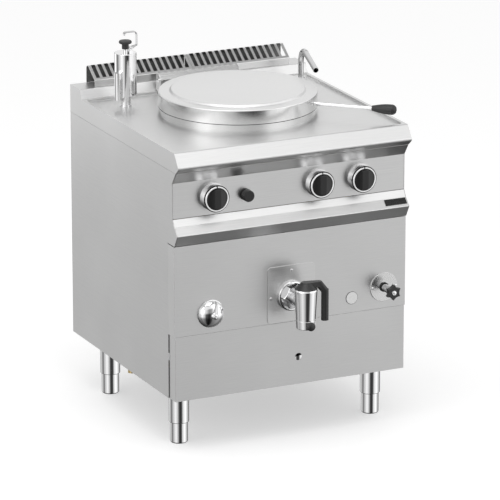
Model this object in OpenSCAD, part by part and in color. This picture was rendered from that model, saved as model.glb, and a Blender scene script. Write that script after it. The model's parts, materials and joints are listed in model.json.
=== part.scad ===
// Gas boiling pan on four legs, in millimetres, +Z up.
// The origin is on the floor, under the middle of the object's box, and the front faces -Y.
// Every module is drawn with y = 0 at the face of the lower front panels, and placed() moves it.

/* [Body] */
// Width over the worktop
body_w = 700; // [680:1:800]
// Depth from the tip of the nose to the back
body_d = 730; // [725:1:800]
// Height of the worktop above the floor
worktop_z = 851; // [845:1:880]
// Clear height under the body
leg_h = 150; // [130:1:160]
// Thickness of the steel sheet
sheet = 1.5; // [1:0.1:2]
// Gap between sheets that meet
seam = 0.5; // [0.3:0.1:1]
// Clearance between parts that only have to pass each other
slack = 0.3; // [0.25:0.05:0.5]
// Radial clearance of a shaft in its bore
run_fit = 0.06; // [0.02:0.01:0.1]

/* [Worktop] */
// How far the nose tip stands in front of the lower panels
nose_reach = 33.5; // [30:0.5:40]
// How far the worktop's front edge stands in front of the lower panels
top_reach = 5.2; // [3:0.1:8]
// Drop from the worktop to the nose tip
nose_drop = 38.2; // [34:0.1:42]
// Depth of the worktop's skirt
skirt_h = 54.5; // [50:0.5:60]
// How far the skirt's foot stands in front of the lower panels
foot_reach = 13.9; // [10:0.1:18]
// Width of the raised border round the recess
border_w = 9.5; // [8:0.5:14]
// Depth of the pressed recess
recess_depth = 7; // [4:0.5:8]
// Corner radius of the recess
recess_r = 14; // [8:1:24]
// Height of the rear upstand above the worktop
upstand_h = 25.5; // [20:0.5:32]
// Depth of the upstand at the worktop
upstand_foot_d = 81.6; // [80:0.1:86]
// Depth of the upstand's flat top
upstand_top_d = 70.6; // [68:0.1:72]

/* [Control panel and rail] */
// Set-back of the control panel behind the lower panels
panel_set_back = 10.6; // [8:0.1:14]
// Drop from the worktop to the control panel's top
panel_drop = 88.1; // [80:0.1:96]
// Height of the control panel
panel_h = 99.9; // [95:0.1:110]
// Reach of the rail's lip in front of the lower panels
rail_reach = 21.4; // [18:0.1:26]
// Height of the rail
rail_h = 72.8; // [58:0.1:76]
// Height of the rail's rounded top band
rail_band_h = 19; // [16:0.5:22]
// Height of the rail's chamfer under the lip
rail_chamfer_h = 32.5; // [18:0.1:36]
// Width of the blank plate
plate_w = 65; // [50:1:80]
// Height of the blank plate
plate_h = 19; // [12:0.5:20]
// Blank plate in from the right side
plate_in = 5; // [4:0.5:20]

/* [Front panels] */
// Gap under the rail
front_gap = 2; // [1:0.1:16]
// Reach of the rail's foot past the lower front panels
rail_step = 3; // [1:0.5:6]
// Drop from the tap to the joint of the two panels
split_drop = 75.4; // [72:0.1:80]
// Depth of the panels' side returns
return_d = 40; // [30:1:50]
// Radius of the sight hole
sight_r = 10.2; // [8:0.1:13]
// Sight hole from the middle
sight_x = 23; // [10:1:60]
// Sight hole above the panel's lower edge
sight_up = 78.3; // [60:0.1:100]

/* [Legs] */
// Leg centres in from the sides
leg_inset_x = 57; // [50:1:70]
// Front leg centres behind the lower panels
leg_front_y = 97.6; // [90:0.1:110]
// Rear leg centres in front of the back
leg_rear_d = 131.7; // [120:0.1:145]
// Radius of the upper leg tube
leg_r = 28.3; // [27.5:0.1:32]
// Radius of the foot tube
foot_r = 24.9; // [22:0.1:25.5]
// Lower edge of the upper tube above the floor
leg_tube_z = 58.8; // [50:0.1:70]

/* [Pan and jacket] */
// Pan centre behind the lower panels
pan_y = 339; // [336:1:341]
// Inner radius of the pan
pan_r = 200; // [180:1:205]
// Inner depth of the pan
pan_depth = 420; // [350:1:425]
// Wall of the pan
pan_wall = 2; // [1.5:0.1:3]
// Radius of the collar on the worktop
collar_r = 214.5; // [212:0.1:216]
// Height of the collar above the worktop
collar_h = 29; // [26:0.5:32]
// Radius of the jacket
jacket_r = 232; // [228:1:238]
// Space between the pan's bottom and the jacket's
jacket_gap = 28; // [20:1:35]
// Thickness of the insulation
insulation_t = 26; // [15:1:28]
// Drop from the jacket to the foot of the combustion chamber
chamber_drop = 128; // [120:1:135]
// Lap of the chamber over the jacket
chamber_lap = 42; // [30:1:50]
// Drop from the jacket to the burner
burner_drop = 68; // [60:1:75]
// Half width of the flue's neck
neck_half_w = 100; // [80:1:110]
// Height of the flue's neck
neck_h = 70; // [60:1:75]
// Wall of the flue's neck
neck_wall = 4; // [2:0.5:5]
// Height of the base frame's rim
frame_h = 32; // [25:1:40]
// Air opening of the base frame in from its legs
air_in = 32; // [28:1:45]

/* [Lid] */
// Radius of the lid
lid_r = 220.5; // [220:0.1:224]
// Lower edge of the lid's skirt above the worktop
lid_skirt_z = 14; // [12:0.5:16]
// Height of the lid's skirt
lid_skirt_h = 40; // [38:0.5:44]
// Radius of the raised disc
disc_r = 184; // [170:1:190]
// Height of the raised disc
disc_h = 6; // [4:0.5:8]
// Edge radius of the lid
lid_edge_r = 3; // [2:0.5:5]
// Direction of the handle, from the right, toward the front
handle_turn = 43; // [35:1:50]
// Length of the handle from the skirt
handle_l = 235; // [200:1:240]
// Radius of the handle rod
rod_r = 5; // [4:0.25:6]
// Length of the grip
grip_l = 70; // [60:1:80]
// Largest radius of the grip
grip_r = 14.4; // [12:0.1:16]

/* [Lid hinge] */
// Hinge axis in front of the upstand's foot
hinge_gap = 16.9; // [16.5:0.1:19]
// Hinge axis above the worktop
hinge_up = 33; // [32:0.5:34]
// Half width of the hinge channel
hinge_half_w = 120; // [100:1:130]
// Radius of the hinge pin
pin_r = 6; // [5:0.5:7]
// Thickness of the bracket's end plates
cheek_t = 3; // [2:0.5:4]
// Half distance of the two arms
arm_x = 60; // [50:1:80]

/* [Valve group] */
// Valve group in from the left side
valve_in = 93; // [80:1:100]
// Valve group behind the lower panels
valve_y = 522; // [515:1:530]
// Radius of the valve's foot tube
valve_foot_r = 14.2; // [12:0.1:16]
// Height of the body's lower edge above the recess
valve_lift = 34; // [28:1:40]
// Radius of the valve body
valve_r = 30.9; // [28:0.1:33]
// Height of the valve body
valve_h = 120; // [105:1:125]
// Radius of the side tube
side_tube_r = 10.25; // [8:0.25:11]
// Height of the side tube
side_tube_h = 77; // [60:1:85]
// Radius of the black knob
vent_knob_r = 17.9; // [15:0.1:18.4]

/* [Spout] */
// Spout in from the right side
spout_in = 58; // [50:1:65]
// Spout behind the lower panels
spout_y = 540; // [530:1:550]
// Radius of the spout tube
spout_r = 8; // [6:0.5:9]
// Start of the spout's bend above the worktop
spout_up = 50; // [45:1:60]
// Radius of the bend
spout_bend_r = 45; // [30:1:50]
// Length of the spout's straight arm
spout_arm = 121; // [110:1:130]
// Droop of the arm below level
spout_drop = 10; // [5:1:12]
// Direction of the arm, from the front toward the middle
spout_turn = 12; // [0:1:30]

/* [Knobs] */
// Gas knob from the middle
gas_knob_x = -229; // [-240:0.1:-220]
// Hot water knob from the middle
hot_knob_x = 86; // [80:0.1:95]
// Cold water knob from the middle
cold_knob_x = 213.3; // [205:0.1:225]
// Igniter button from the middle
igniter_x = -131.3; // [-145:0.1:-125]
// Drop of the igniter button below the knobs
igniter_drop = 6; // [0:0.5:10]
// Radius of the knob's chrome bezel
bezel_r = 37; // [34:0.1:40]
// Depth of the bezel
bezel_d = 28; // [24:0.5:32]
// Radius of the black knob
knob_r = 27.9; // [25:0.1:30]
// How far the knob stands out of its bezel
knob_proud = 6; // [4:0.5:8]
// Height of the knob's grip ridge
ridge_h = 7; // [5:0.5:9]
// Width of the knob's grip ridge
ridge_w = 14; // [10:0.5:18]
// Radius of the igniter button
button_r = 16.5; // [14:0.1:18]
// Reach of the igniter button from the panel
button_d = 23; // [20:0.5:40]
// Travel of the igniter button
button_travel = 4; // [3:0.5:5]
// Radius of the knob shafts
shaft_r = 4; // [3:0.25:5]

/* [Drain tap] */
// Drop from the pan's bottom to the tap
tap_drop = 52; // [50:1:56]
// Width of the tap plate
tap_plate_w = 144; // [130:1:155]
// Height of the tap plate
tap_plate_h = 160; // [150:1:170]
// Thickness of the tap plate
tap_plate_t = 2; // [1.5:0.1:3]
// Radius of the tap's domed nut
nut_r = 42; // [38:0.5:46]
// Reach of the tap's axis from the front panel
tap_reach = 92; // [90:1:100]
// Radius of the tap body at its top
tap_top_r = 31.5; // [30:0.5:33]
// Radius of the tap body at its foot
tap_foot_r = 26; // [23:0.5:27]
// Height of the tap body
tap_body_h = 111; // [100:1:120]
// Tap body's top above the tap's axis
tap_head = 44; // [40:1:48]
// Reach of the tap lever's grip from the tap's middle
lever_reach = 55; // [54:0.5:62]
// Radius of the tap lever's grip
lever_r = 10.3; // [9:0.1:11]
// Length of the tap lever's grip
lever_l = 94; // [80:1:100]
// Turn of the tap lever from the right toward the front
lever_turn = 5; // [0:1:20]
// Radius of the lock knob
lock_r = 12; // [9:0.5:13]
// Thickness of the lock knob
lock_t = 13; // [8:0.5:15]
// Bore of the drain
drain_r = 16; // [12:0.5:17]

/* [Front fittings] */
// Filling knob from the middle
fill_x = -241; // [-250:1:-235]
// Drop from the tap to the filling knob
fill_drop = 20; // [13:1:23]
// Radius of the filling knob
fill_r = 38.7; // [35:0.1:42]
// Level valve from the middle
level_x = 283; // [275:1:290]
// Drop from the tap to the level valve
level_drop = 14; // [8:1:20]
// Radius of the level valve's flange
flange_r = 41.4; // [39:0.1:45]
// Screws of the flange from its middle
flange_screw_x = 35.7; // [33:0.1:36]
// Reach of the handwheel from the panel
wheel_reach = 51; // [46:1:56]
// Radius of the handwheel
wheel_r = 22; // [20:0.5:26]
// Thickness of the handwheel
wheel_t = 13; // [10:0.5:22]
// Radius of the level valve's housing
housing_r = 11; // [9:0.5:13]
// Radius of the bore for its spindle
stem_bore_r = 6.06; // [5:0.01:7]
// Plug disc from the middle
plug_x = 185; // [178:1:192]
// Drop from the tap to the plug disc
plug_drop = 33; // [26:1:38]
// Radius of the plug disc
plug_r = 17.1; // [14:0.1:20]

/* [Flue grille] */
// Half length of the grille
grille_half_w = 302; // [295:1:310]
// Lip in front of the back
grille_d = 63.5; // [58:0.5:68]
// Depth of the grille's slope
slope_d = 60; // [52:0.5:62]
// Height of the lip
lip_h = 19; // [16:0.5:22]
// Height of the slope
slope_h = 42.5; // [36:0.1:46]
// Pitch of the slots
slot_pitch = 19.5; // [18:0.5:24]
// Width of a slot
slot_w = 12; // [9:0.5:13]

/* [Gas and water] */
// Gas inlet in from the left side
gas_in = 25; // [20:1:28]
// Gas inlet behind the lower panels
gas_in_y = 342; // [330:1:360]
// Radius of the gas and water inlets
inlet_r = 10.5; // [8:0.5:12]
// How far the inlets reach below the body
inlet_l = 20; // [16:1:30]
// Radius of the inner pipes
pipe_r = 8; // [6:0.5:9]
// Radius of the burner ring
burner_r = 110; // [90:1:130]
// Radius of the burner's tube
burner_tube_r = 13; // [10:0.5:15]

/* [Hidden] */
$fn = 64;

steel = [0.72, 0.72, 0.71];
bright = [0.82, 0.82, 0.83];
black = [0.08, 0.08, 0.08];
brass = [0.72, 0.58, 0.32];
iron = [0.3, 0.3, 0.31];
wool = [0.75, 0.7, 0.55];

half_w = body_w / 2;
back_y = body_d - nose_reach;
front_most = tap_reach + tap_foot_r + lock_t + 1;
front_y = (front_most - back_y) / 2;
base_z = leg_h;
deck_z = base_z + sheet + slack;
skirt_z = worktop_z - skirt_h;
upstand_z = worktop_z + upstand_h;
recess_z = worktop_z - recess_depth;
recess_back_y = back_y - upstand_foot_d - border_w;
recess_front_y = border_w - top_reach;
panel_top_z = worktop_z - panel_drop;
panel_z = panel_top_z - panel_h;
rail_z = panel_z - rail_h;
upper_panel_top_z = rail_z - front_gap;
side_x = half_w - seam;
inner_x = side_x - sheet - slack;
front_in = sheet + seam;
leg_x = half_w - leg_inset_x;
leg_rear_y = back_y - leg_rear_d;

collar_z = worktop_z + collar_h;
pan_bottom_z = collar_z - pan_depth;
jacket_bottom_z = pan_bottom_z - jacket_gap;
jacket_top_z = worktop_z - 50;
insulation_r = jacket_r + slack + insulation_t;
chamber_r = insulation_r;
chamber_top_z = jacket_bottom_z + chamber_lap;
chamber_z = jacket_bottom_z - chamber_drop;
burner_z = jacket_bottom_z - burner_drop;
neck_z = chamber_z + neck_h;
burner_y = pan_y + 26;

lid_z = worktop_z + lid_skirt_z;
lid_top_z = lid_z + lid_skirt_h;
lid_floor_z = collar_z + slack;
liner_r = lid_r - sheet - 7;
handle_z = lid_top_z - 21;
hinge_y = back_y - upstand_foot_d - hinge_gap;
hinge_z = worktop_z + hinge_up;
hinge_top = 19;
hinge_back = 15;
hinge_nose = 14;

valve_x = valve_in - half_w;
valve_z = recess_z + valve_lift;
valve_top_z = valve_z + valve_h;
side_tube_turn = -145.5;
stem_r = 5;
vent_knob_z = valve_top_z + 10;
lever_post_x = 15;
lever_post_y = 2;
lever_pin_z = valve_top_z + 10;

spout_x = half_w - spout_in;
spout_bend_z = worktop_z + spout_up;

knob_z = panel_z + panel_h / 2;
igniter_z = knob_z - igniter_drop;
panel_y = panel_set_back;
gas_valve_y = panel_y + sheet + seam + 2;
valve_half = 27;
gas_valve_l = 56;
water_valve_l = 40;
vent_stop_up = 30;
button_gap = button_travel + 1;

tap_y = -tap_reach;
tap_z = pan_bottom_z - tap_drop;
panel_split_z = tap_z - split_drop;
fill_z = tap_z - fill_drop;
level_z = tap_z - level_drop;
plug_z = tap_z - plug_drop;
tap_foot_z = tap_z + tap_head - tap_body_h;
tap_top_z = tap_z + tap_head;
drain_down_y = pan_y - pan_r + 50;
lock_z = tap_foot_z + 12;
outlet_depth = 7;
screw_up = 72;
screw_side = 62;

grille_y = back_y - grille_d;
duct_y = grille_y + 11;
duct_d = slope_d - 18;
duct_half_w = grille_half_w - 16;
water_in_y = spout_y;
gas_in_x = gas_in - half_w;
burner_feed_x = gas_knob_x + 60;

// Moves a piece from the front panels' frame to the part's frame.
module placed() {
  translate([0, front_y, 0]) children();
}

function unit(v) = v / norm(v);

// Outward normal of the edge a-b of an outline that runs anticlockwise.
function normal_of(a, b) = let (u = unit(b - a)) [u[1], -u[0]];

function mitre(m, n) = (m + n) / (1 + m * n);

// A closed outline moved outward by d.
function shifted(p, d) = let (n = len(p)) [
  for (i = [0 : n - 1])
    let (a = p[(i + n - 1) % n], b = p[i], c = p[(i + 1) % n])
      b + d * mitre(normal_of(a, b), normal_of(b, c))
];

// A bent strip of thickness t whose outer side is the line p.
function ribbon(p, t) = let (
  n = len(p),
  inner = [
    for (i = [0 : n - 1])
      let (
        first = i == 0 ? normal_of(p[0], p[1]) : normal_of(p[i - 1], p[i]),
        last = i == n - 1 ? first : normal_of(p[i], p[i + 1])
      )
      p[i] - t * mitre(first, last)
  ]
) concat(p, [for (i = [n - 1 : -1 : 0]) inner[i]]);

// The corner b of the line a-b-c as an arc of radius r.
function bend(a, b, c, r, steps = 5) = let (
  u = unit(a - b),
  v = unit(c - b),
  half = acos(u * v) / 2,
  centre = b + unit(u + v) * r / sin(half),
  start = b + u * r / tan(half),
  stop = b + v * r / tan(half)
) [for (i = [0 : steps]) centre + r * unit(start + (stop - start) * i / steps - centre)];

// A profile in Y and Z, drawn across the width w.
module across(w) {
  translate([-w / 2, 0, 0]) rotate([90, 0, 90]) linear_extrude(w) children();
}

// What is drawn along +Z points forward, to -Y.
module facing_front(x, y, z) {
  translate([x, y, z]) rotate([90, 0, 0]) children();
}

module rounded_plate(w, h, r) {
  square([w - 2 * r, h], center = true);
  square([w, h - 2 * r], center = true);
  for (x = [-1, 1], y = [-1, 1]) translate([x * (w / 2 - r), y * (h / 2 - r)]) circle(r);
}

// A rod of radius r from a to b.
module rod(a, b, r) {
  d = b - a;
  translate(a) rotate([0, acos(d[2] / norm(d)), atan2(d[1], d[0])]) cylinder(h = norm(d), r = r);
}

// A round pipe through the points, with ball corners.
module pipe(points, r) {
  for (i = [1 : len(points) - 1]) rod(points[i - 1], points[i], r);
  for (i = [1 : len(points) - 2]) translate(points[i]) sphere(r);
}

module ring(inner, outer, h) {
  difference() {
    cylinder(h = h, r = outer);
    translate([0, 0, -1]) cylinder(h = h + 2, r = inner);
  }
}

// Worktop, nose, skirt and upstand in Y and Z, anticlockwise.
nose_foot = [-foot_reach, skirt_z];
nose_tip = [-nose_reach, worktop_z - nose_drop];
top_front = [-top_reach, worktop_z];
upstand_foot = [back_y - upstand_foot_d, worktop_z];
upstand_front = [back_y - upstand_top_d, upstand_z];
worktop_line = concat(
  [nose_foot, [back_y, skirt_z]],
  bend([back_y, skirt_z], [back_y, upstand_z], upstand_front, 3, 3),
  bend([back_y, upstand_z], upstand_front, upstand_foot, 3, 3),
  [upstand_foot],
  bend(upstand_foot, top_front, nose_tip, 5, 4),
  bend(top_front, nose_tip, nose_foot, 7, 5)
);

module recess(grow, depth, rise) {
  mid_y = (recess_front_y + recess_back_y) / 2;
  w = body_w - 2 * border_w + 2 * grow;
  d = recess_back_y - recess_front_y + 2 * grow;
  translate([0, mid_y, worktop_z - depth])
    linear_extrude(depth + rise) rounded_plate(w, d, recess_r + grow);
}

module worktop() {
  placed() color(steel) difference() {
    union() {
      difference() {
        across(body_w) polygon(worktop_line);
        across(body_w - 2 * sheet) polygon(shifted(worktop_line, -sheet));
        translate([sheet - half_w, foot_reach, skirt_z - 1])
          cube([body_w - 2 * sheet, back_y - foot_reach - sheet, sheet + 2]);
      }
      recess(sheet, recess_depth + sheet, 0);
    }
    recess(0, recess_depth, 5);
    translate([0, pan_y, recess_z - 10]) cylinder(h = 30, r = collar_r - 8);
    translate([valve_x, valve_y, recess_z - 10]) cylinder(h = 30, r = pipe_r + slack);
    translate([spout_x, spout_y, recess_z - 10]) cylinder(h = 30, r = pipe_r + slack);
    translate([-duct_half_w, duct_y, upstand_z - 10]) cube([2 * duct_half_w, duct_d, 20]);
  }
}

// The grille's bent sheet in Y and Z: lip, slope, rounded ridge and back.
module grille_profile() {
  foot_z = upstand_z + 0.4;
  lip = [grille_y, foot_z + lip_h];
  ridge = [grille_y + slope_d, foot_z + lip_h + slope_h];
  back = [grille_y + slope_d, foot_z];
  line = concat(
    [back],
    bend(back, ridge, lip, 11, 5),
    bend(ridge, lip, [grille_y, foot_z], 2.5, 3),
    [[grille_y, foot_z]]
  );
  polygon(ribbon(line, sheet));
}

module grille_half(side) {
  slots = floor((grille_half_w - 2) / slot_pitch);
  first = (grille_half_w - slots * slot_pitch + slot_pitch - slot_w) / 2;
  lip_z = upstand_z + lip_h;
  slot = [
    [grille_y + 7, lip_z - 3], [grille_y + slope_d - 9, lip_z - 3],
    [grille_y + slope_d - 9, lip_z + slope_h + 9], [grille_y + 7, lip_z + slope_h + 9]
  ];
  color(steel) difference() {
    intersection() {
      across(2 * grille_half_w) grille_profile();
      translate([side > 0 ? seam : -grille_half_w - 1, 0, 0])
        cube([grille_half_w + 1 - seam, back_y + 10, upstand_z + 100]);
    }
    for (i = [0 : slots - 1])
      translate([side * (first + i * slot_pitch + slot_w / 2), 0, 0]) across(slot_w) polygon(slot);
  }
}

module flue_grille_left() {
  placed() grille_half(-1);
}

module flue_grille_right() {
  placed() grille_half(1);
}

// Front outline of the housing from the skirt down to the rail's foot.
rail_mid = [panel_y - 11.8, panel_z - rail_band_h];
rail_lip = [-rail_reach, rail_z + rail_chamfer_h];
rail_foot = [-rail_step, rail_z];
panel_top = [panel_y, panel_top_z];
panel_foot = [panel_y, panel_z];

module side_outline() {
  polygon(concat(
    [[return_d + seam, base_z], [back_y - sheet - slack, base_z], [back_y - sheet - slack, skirt_z - seam]],
    [[-foot_reach + 1, skirt_z - seam], panel_top, panel_foot],
    bend(panel_foot, rail_mid, rail_lip, 12, 3),
    [rail_lip, rail_foot, [return_d + seam, rail_z]]
  ));
}

module side_panel(side) {
  placed() color(steel) {
    translate([side > 0 ? side_x - sheet : -side_x, 0, 0])
      rotate([90, 0, 90]) linear_extrude(sheet) side_outline();
    translate([side > 0 ? side_x - 14 : -side_x, return_d + seam + 1, base_z])
      cube([14, back_y - return_d - 6, sheet]);
  }
}

module side_panel_left() {
  side_panel(-1);
}

module side_panel_right() {
  side_panel(1);
}

module back_panel() {
  slot_l = 90;
  placed() color(steel) difference() {
    translate([-side_x, back_y - sheet, base_z]) cube([2 * side_x, sheet, skirt_z - seam - base_z]);
    for (row = [0 : 5], x = [-220, -110, 0, 110])
      translate([x + 55 - slot_l / 2, back_y - 10, base_z + 60 + 22 * row]) cube([slot_l, 20, 6]);
  }
}

module control_panel() {
  line = [[-foot_reach + 1, skirt_z - seam - 0.6 * sheet], panel_top, [panel_y, panel_z + seam]];
  placed() color(steel) difference() {
    across(2 * inner_x) polygon(ribbon(line, sheet));
    for (x = [gas_knob_x, hot_knob_x, cold_knob_x])
      facing_front(x, panel_y + 10, knob_z) cylinder(h = 20, r = 12 + slack);
    facing_front(igniter_x, panel_y + 10, igniter_z) cylinder(h = 20, r = 12 + slack);
  }
}

module front_rail() {
  line = concat(
    [[panel_y, panel_z - seam]],
    bend(panel_foot, rail_mid, rail_lip, 12, 5),
    bend(rail_mid, rail_lip, rail_foot, 2.5, 3),
    [rail_foot, [return_d - 5, rail_z]]
  );
  placed() color(steel) across(2 * inner_x) polygon(ribbon(line, sheet));
}

module blank_plate() {
  face = unit(rail_lip - rail_mid);
  out = [-face[1], face[0]] * -1;
  middle = rail_mid + face * (2 + plate_h / 2) + out * 0.05;
  a = middle - face * plate_h / 2;
  b = middle + face * plate_h / 2;
  placed() color(black) translate([half_w - plate_in - plate_w / 2, 0, 0])
    across(plate_w) polygon([a, b, b + out * 1.2, a + out * 1.2]);
}

// A panel with returns on its four edges, open at the back.
module folded_panel(half, low_z, high_z) {
  difference() {
    translate([-half, 0, low_z]) cube([2 * half, return_d, high_z - low_z]);
    translate([sheet - half, sheet, low_z + sheet])
      cube([2 * (half - sheet), return_d, high_z - low_z - 2 * sheet]);
    translate([sheet - half, 15, low_z - 1])
      cube([2 * (half - sheet), return_d, high_z - low_z + 2]);
  }
}

module upper_front_panel() {
  placed() color(steel) difference() {
    folded_panel(side_x, panel_split_z + seam, upper_panel_top_z);
    facing_front(0, 5, tap_z) cylinder(h = 10, r = drain_r + 4 + slack);
    facing_front(fill_x, 5, fill_z) cylinder(h = 10, r = pipe_r + slack);
    facing_front(level_x, 5, level_z) cylinder(h = 10, r = pipe_r + slack);
    facing_front(plug_x, 5, plug_z) cylinder(h = 10, r = plug_r - 3);
  }
}

module lower_front_panel() {
  placed() color(steel) difference() {
    folded_panel(side_x - 2.5, base_z, panel_split_z);
    facing_front(sight_x, 5, base_z + sight_up) cylinder(h = 10, r = sight_r);
  }
}

module base_frame() {
  open_x = leg_x - leg_r - air_in;
  open_y = leg_front_y + leg_r + air_in;
  open_d = leg_rear_y - leg_r - air_in - open_y;
  y0 = return_d + 2;
  y1 = back_y - sheet - slack;
  half = inner_x - 2;
  placed() color(steel) difference() {
    translate([-half, y0, deck_z]) cube([2 * half, y1 - y0, frame_h]);
    translate([-half + sheet, y0 + sheet, deck_z + sheet])
      cube([2 * (half - sheet), y1 - y0 - 2 * sheet, frame_h]);
    translate([-open_x, open_y, base_z]) cube([2 * open_x, open_d, frame_h]);
    translate([gas_in_x, gas_in_y, base_z - 5]) cylinder(h = 30, r = inlet_r + slack);
    for (x = [spout_x - 40, spout_x])
      translate([x, water_in_y - 80, base_z - 5]) cylinder(h = 30, r = inlet_r + slack);
  }
}

module at_legs() {
  for (x = [-leg_x, leg_x], y = [leg_front_y, leg_rear_y]) translate([x, y, 0]) children();
}

// Upper leg tubes with their top plates, under the base frame.
module leg_tubes() {
  placed() color(bright) at_legs() {
      rotate_extrude() polygon(concat(
        [[foot_r + run_fit, leg_tube_z]],
        bend([foot_r + run_fit, leg_tube_z], [leg_r, leg_tube_z], [leg_r, base_z], 2, 4),
        [[leg_r, deck_z - 1], [foot_r + run_fit, deck_z - 1]]
      ));
    translate([0, 0, deck_z - 4]) cylinder(h = 4, r = leg_r + 8);
  }
}

module foot(side, end) {
  placed() color(bright) translate([side * leg_x, end, 0]) rotate_extrude() polygon(concat(
    [[0, 0]],
    bend([0, 0], [foot_r, 0], [foot_r, 50], 4, 5),
    [[foot_r, base_z - 15], [0, base_z - 15]]
  ));
}

module foot_front_left() {
  foot(-1, leg_front_y);
}

module foot_front_right() {
  foot(1, leg_front_y);
}

module foot_rear_left() {
  foot(-1, leg_rear_y);
}

module foot_rear_right() {
  foot(1, leg_rear_y);
}

module inner_pan() {
  wall = pan_r + pan_wall;
  collar_in = collar_r - pan_wall;
  placed() color(steel) translate([0, pan_y, 0]) difference() {
    rotate_extrude() polygon(concat(
      [[0, pan_bottom_z - pan_wall]],
      bend([0, pan_bottom_z - pan_wall], [wall, pan_bottom_z - pan_wall], [wall, collar_z], 20, 6),
      [[wall, collar_z - pan_wall], [collar_in, collar_z - pan_wall], [collar_in, recess_z]],
      [[collar_r, recess_z]],
      bend([collar_r, recess_z], [collar_r, collar_z], [pan_r, collar_z], 5, 5),
      bend([collar_r, collar_z], [pan_r, collar_z], [pan_r, pan_bottom_z], 1, 2),
      bend([pan_r, collar_z], [pan_r, pan_bottom_z], [0, pan_bottom_z], 18, 6),
      [[0, pan_bottom_z]]
    ));
    translate([0, drain_down_y - pan_y, pan_bottom_z - 10]) cylinder(h = 20, r = drain_r);
  }
}

module steam_jacket() {
  placed() color(steel) translate([0, pan_y, 0]) difference() {
    translate([0, 0, jacket_bottom_z]) cylinder(h = jacket_top_z - jacket_bottom_z, r = jacket_r);
    translate([0, 0, jacket_bottom_z + pan_wall])
      cylinder(h = jacket_top_z - jacket_bottom_z - 2 * pan_wall, r = jacket_r - pan_wall);
    translate([0, 0, jacket_top_z - 20]) cylinder(h = 30, r = pan_r + pan_wall + slack);
    translate([0, drain_down_y - pan_y, jacket_bottom_z - 10]) cylinder(h = 20, r = drain_r + 4 + slack);
  }
}

module insulation() {
  low_z = chamber_top_z + slack;
  placed() color(wool) difference() {
    translate([0, pan_y, low_z]) ring(jacket_r + slack, insulation_r, jacket_top_z - low_z);
    jacket_runs(pipe_r + 2);
  }
}

module combustion_chamber() {
  placed() color(iron) difference() {
    translate([0, pan_y, chamber_z]) ring(chamber_r - 3, chamber_r, chamber_top_z - chamber_z);
    facing_front(0, pan_y, tap_z) cylinder(h = pan_y, r = drain_r + 4 + 3);
    facing_front(burner_feed_x, pan_y, burner_z) cylinder(h = pan_y, r = pipe_r + 3);
    translate([-neck_half_w, pan_y + chamber_r / 2, neck_z]) cube([2 * neck_half_w, chamber_r, neck_h]);
  }
}

// Flue duct with its neck to the combustion chamber.
module flue_duct() {
  low_z = neck_z - 10;
  outer = neck_half_w + neck_wall;
  neck_y = pan_y + sqrt(chamber_r * chamber_r - outer * outer) + 1;
  wall = 1.5;
  placed() color(iron) difference() {
    union() {
      translate([-duct_half_w, duct_y, low_z]) cube([2 * duct_half_w, duct_d, upstand_z - sheet - slack - low_z]);
      translate([-outer, neck_y, neck_z - neck_wall]) cube([2 * outer, duct_y - neck_y + 1, neck_h + 2 * neck_wall]);
    }
    translate([wall - duct_half_w, duct_y + wall, low_z + wall])
      cube([2 * (duct_half_w - wall), duct_d - 2 * wall, upstand_z]);
    translate([-neck_half_w, neck_y - 1, neck_z]) cube([2 * neck_half_w, duct_y - neck_y + 5, neck_h]);
    translate([0, pan_y, chamber_z]) cylinder(h = chamber_top_z, r = chamber_r + slack);
  }
}

module burner() {
  feed_y = burner_y - 20;
  placed() color(iron) {
    translate([0, burner_y, burner_z]) rotate_extrude() translate([burner_r, 0]) circle(burner_tube_r);
    rod([burner_feed_x + pipe_r + 4, feed_y, burner_z], [2 - burner_r, feed_y, burner_z], pipe_r);
    for (x = [-1, 1]) translate([x * burner_r - 6, burner_y, chamber_z - slack - 3])
      cube([12, 12, burner_z - chamber_z]);
    translate([2 - chamber_r, burner_y, chamber_z - slack - 3]) cube([2 * chamber_r - 4, 12, 3]);
  }
}

// An open pipe end that stands out below the body, with a nut above the base.
module inlet_stub(x, y) {
  neck_r = inlet_r - 0.5;
  nut_z = deck_z + sheet + slack;
  translate([x, y, 0]) difference() {
    union() {
      translate([0, 0, base_z - inlet_l]) cylinder(h = inlet_l, r = inlet_r);
      translate([0, 0, base_z - 1]) cylinder(h = 31, r = neck_r);
      translate([0, 0, nut_z]) cylinder(h = 8, r = inlet_r + 5, $fn = 6);
    }
    translate([0, 0, base_z - inlet_l - 1]) cylinder(h = inlet_l + 20, r = inlet_r - 3);
  }
}

module gas_pipes() {
  run_y = return_d + 14;
  low_z = base_z + 80;
  reach = valve_half + slack;
  feed_y = gas_valve_y + 30;
  placed() color(brass) {
    inlet_stub(gas_in_x, gas_in_y);
    pipe([
      [gas_in_x, gas_in_y, base_z + 25], [gas_in_x, gas_in_y, low_z], [gas_in_x, run_y, low_z],
      [gas_in_x, run_y, knob_z], [gas_knob_x - reach, run_y, knob_z]
    ], pipe_r);
    pipe([
      [gas_knob_x + reach, feed_y, knob_z], [burner_feed_x, feed_y, knob_z], [burner_feed_x, feed_y, burner_z],
      [burner_feed_x, burner_y - 20, burner_z], [burner_feed_x + pipe_r + 3.7, burner_y - 20, burner_z]
    ], pipe_r);
  }
}

// A valve block behind the control panel, with the bore for its shaft.
module valve_block(x, deep) {
  difference() {
    union() {
      translate([x - valve_half, gas_valve_y, knob_z - 26]) cube([2 * valve_half, deep, 52]);
      facing_front(x, gas_valve_y + 1, knob_z) cylinder(h = gas_valve_y - panel_y + 5, r = 12);
    }
    facing_front(x, gas_valve_y + 24, knob_z) cylinder(h = 50, r = shaft_r + run_fit);
  }
}

module gas_valve() {
  placed() color(brass) valve_block(gas_knob_x, gas_valve_l);
}

module water_valves() {
  placed() color(brass) for (x = [hot_knob_x, cold_knob_x]) valve_block(x, water_valve_l);
}

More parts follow.
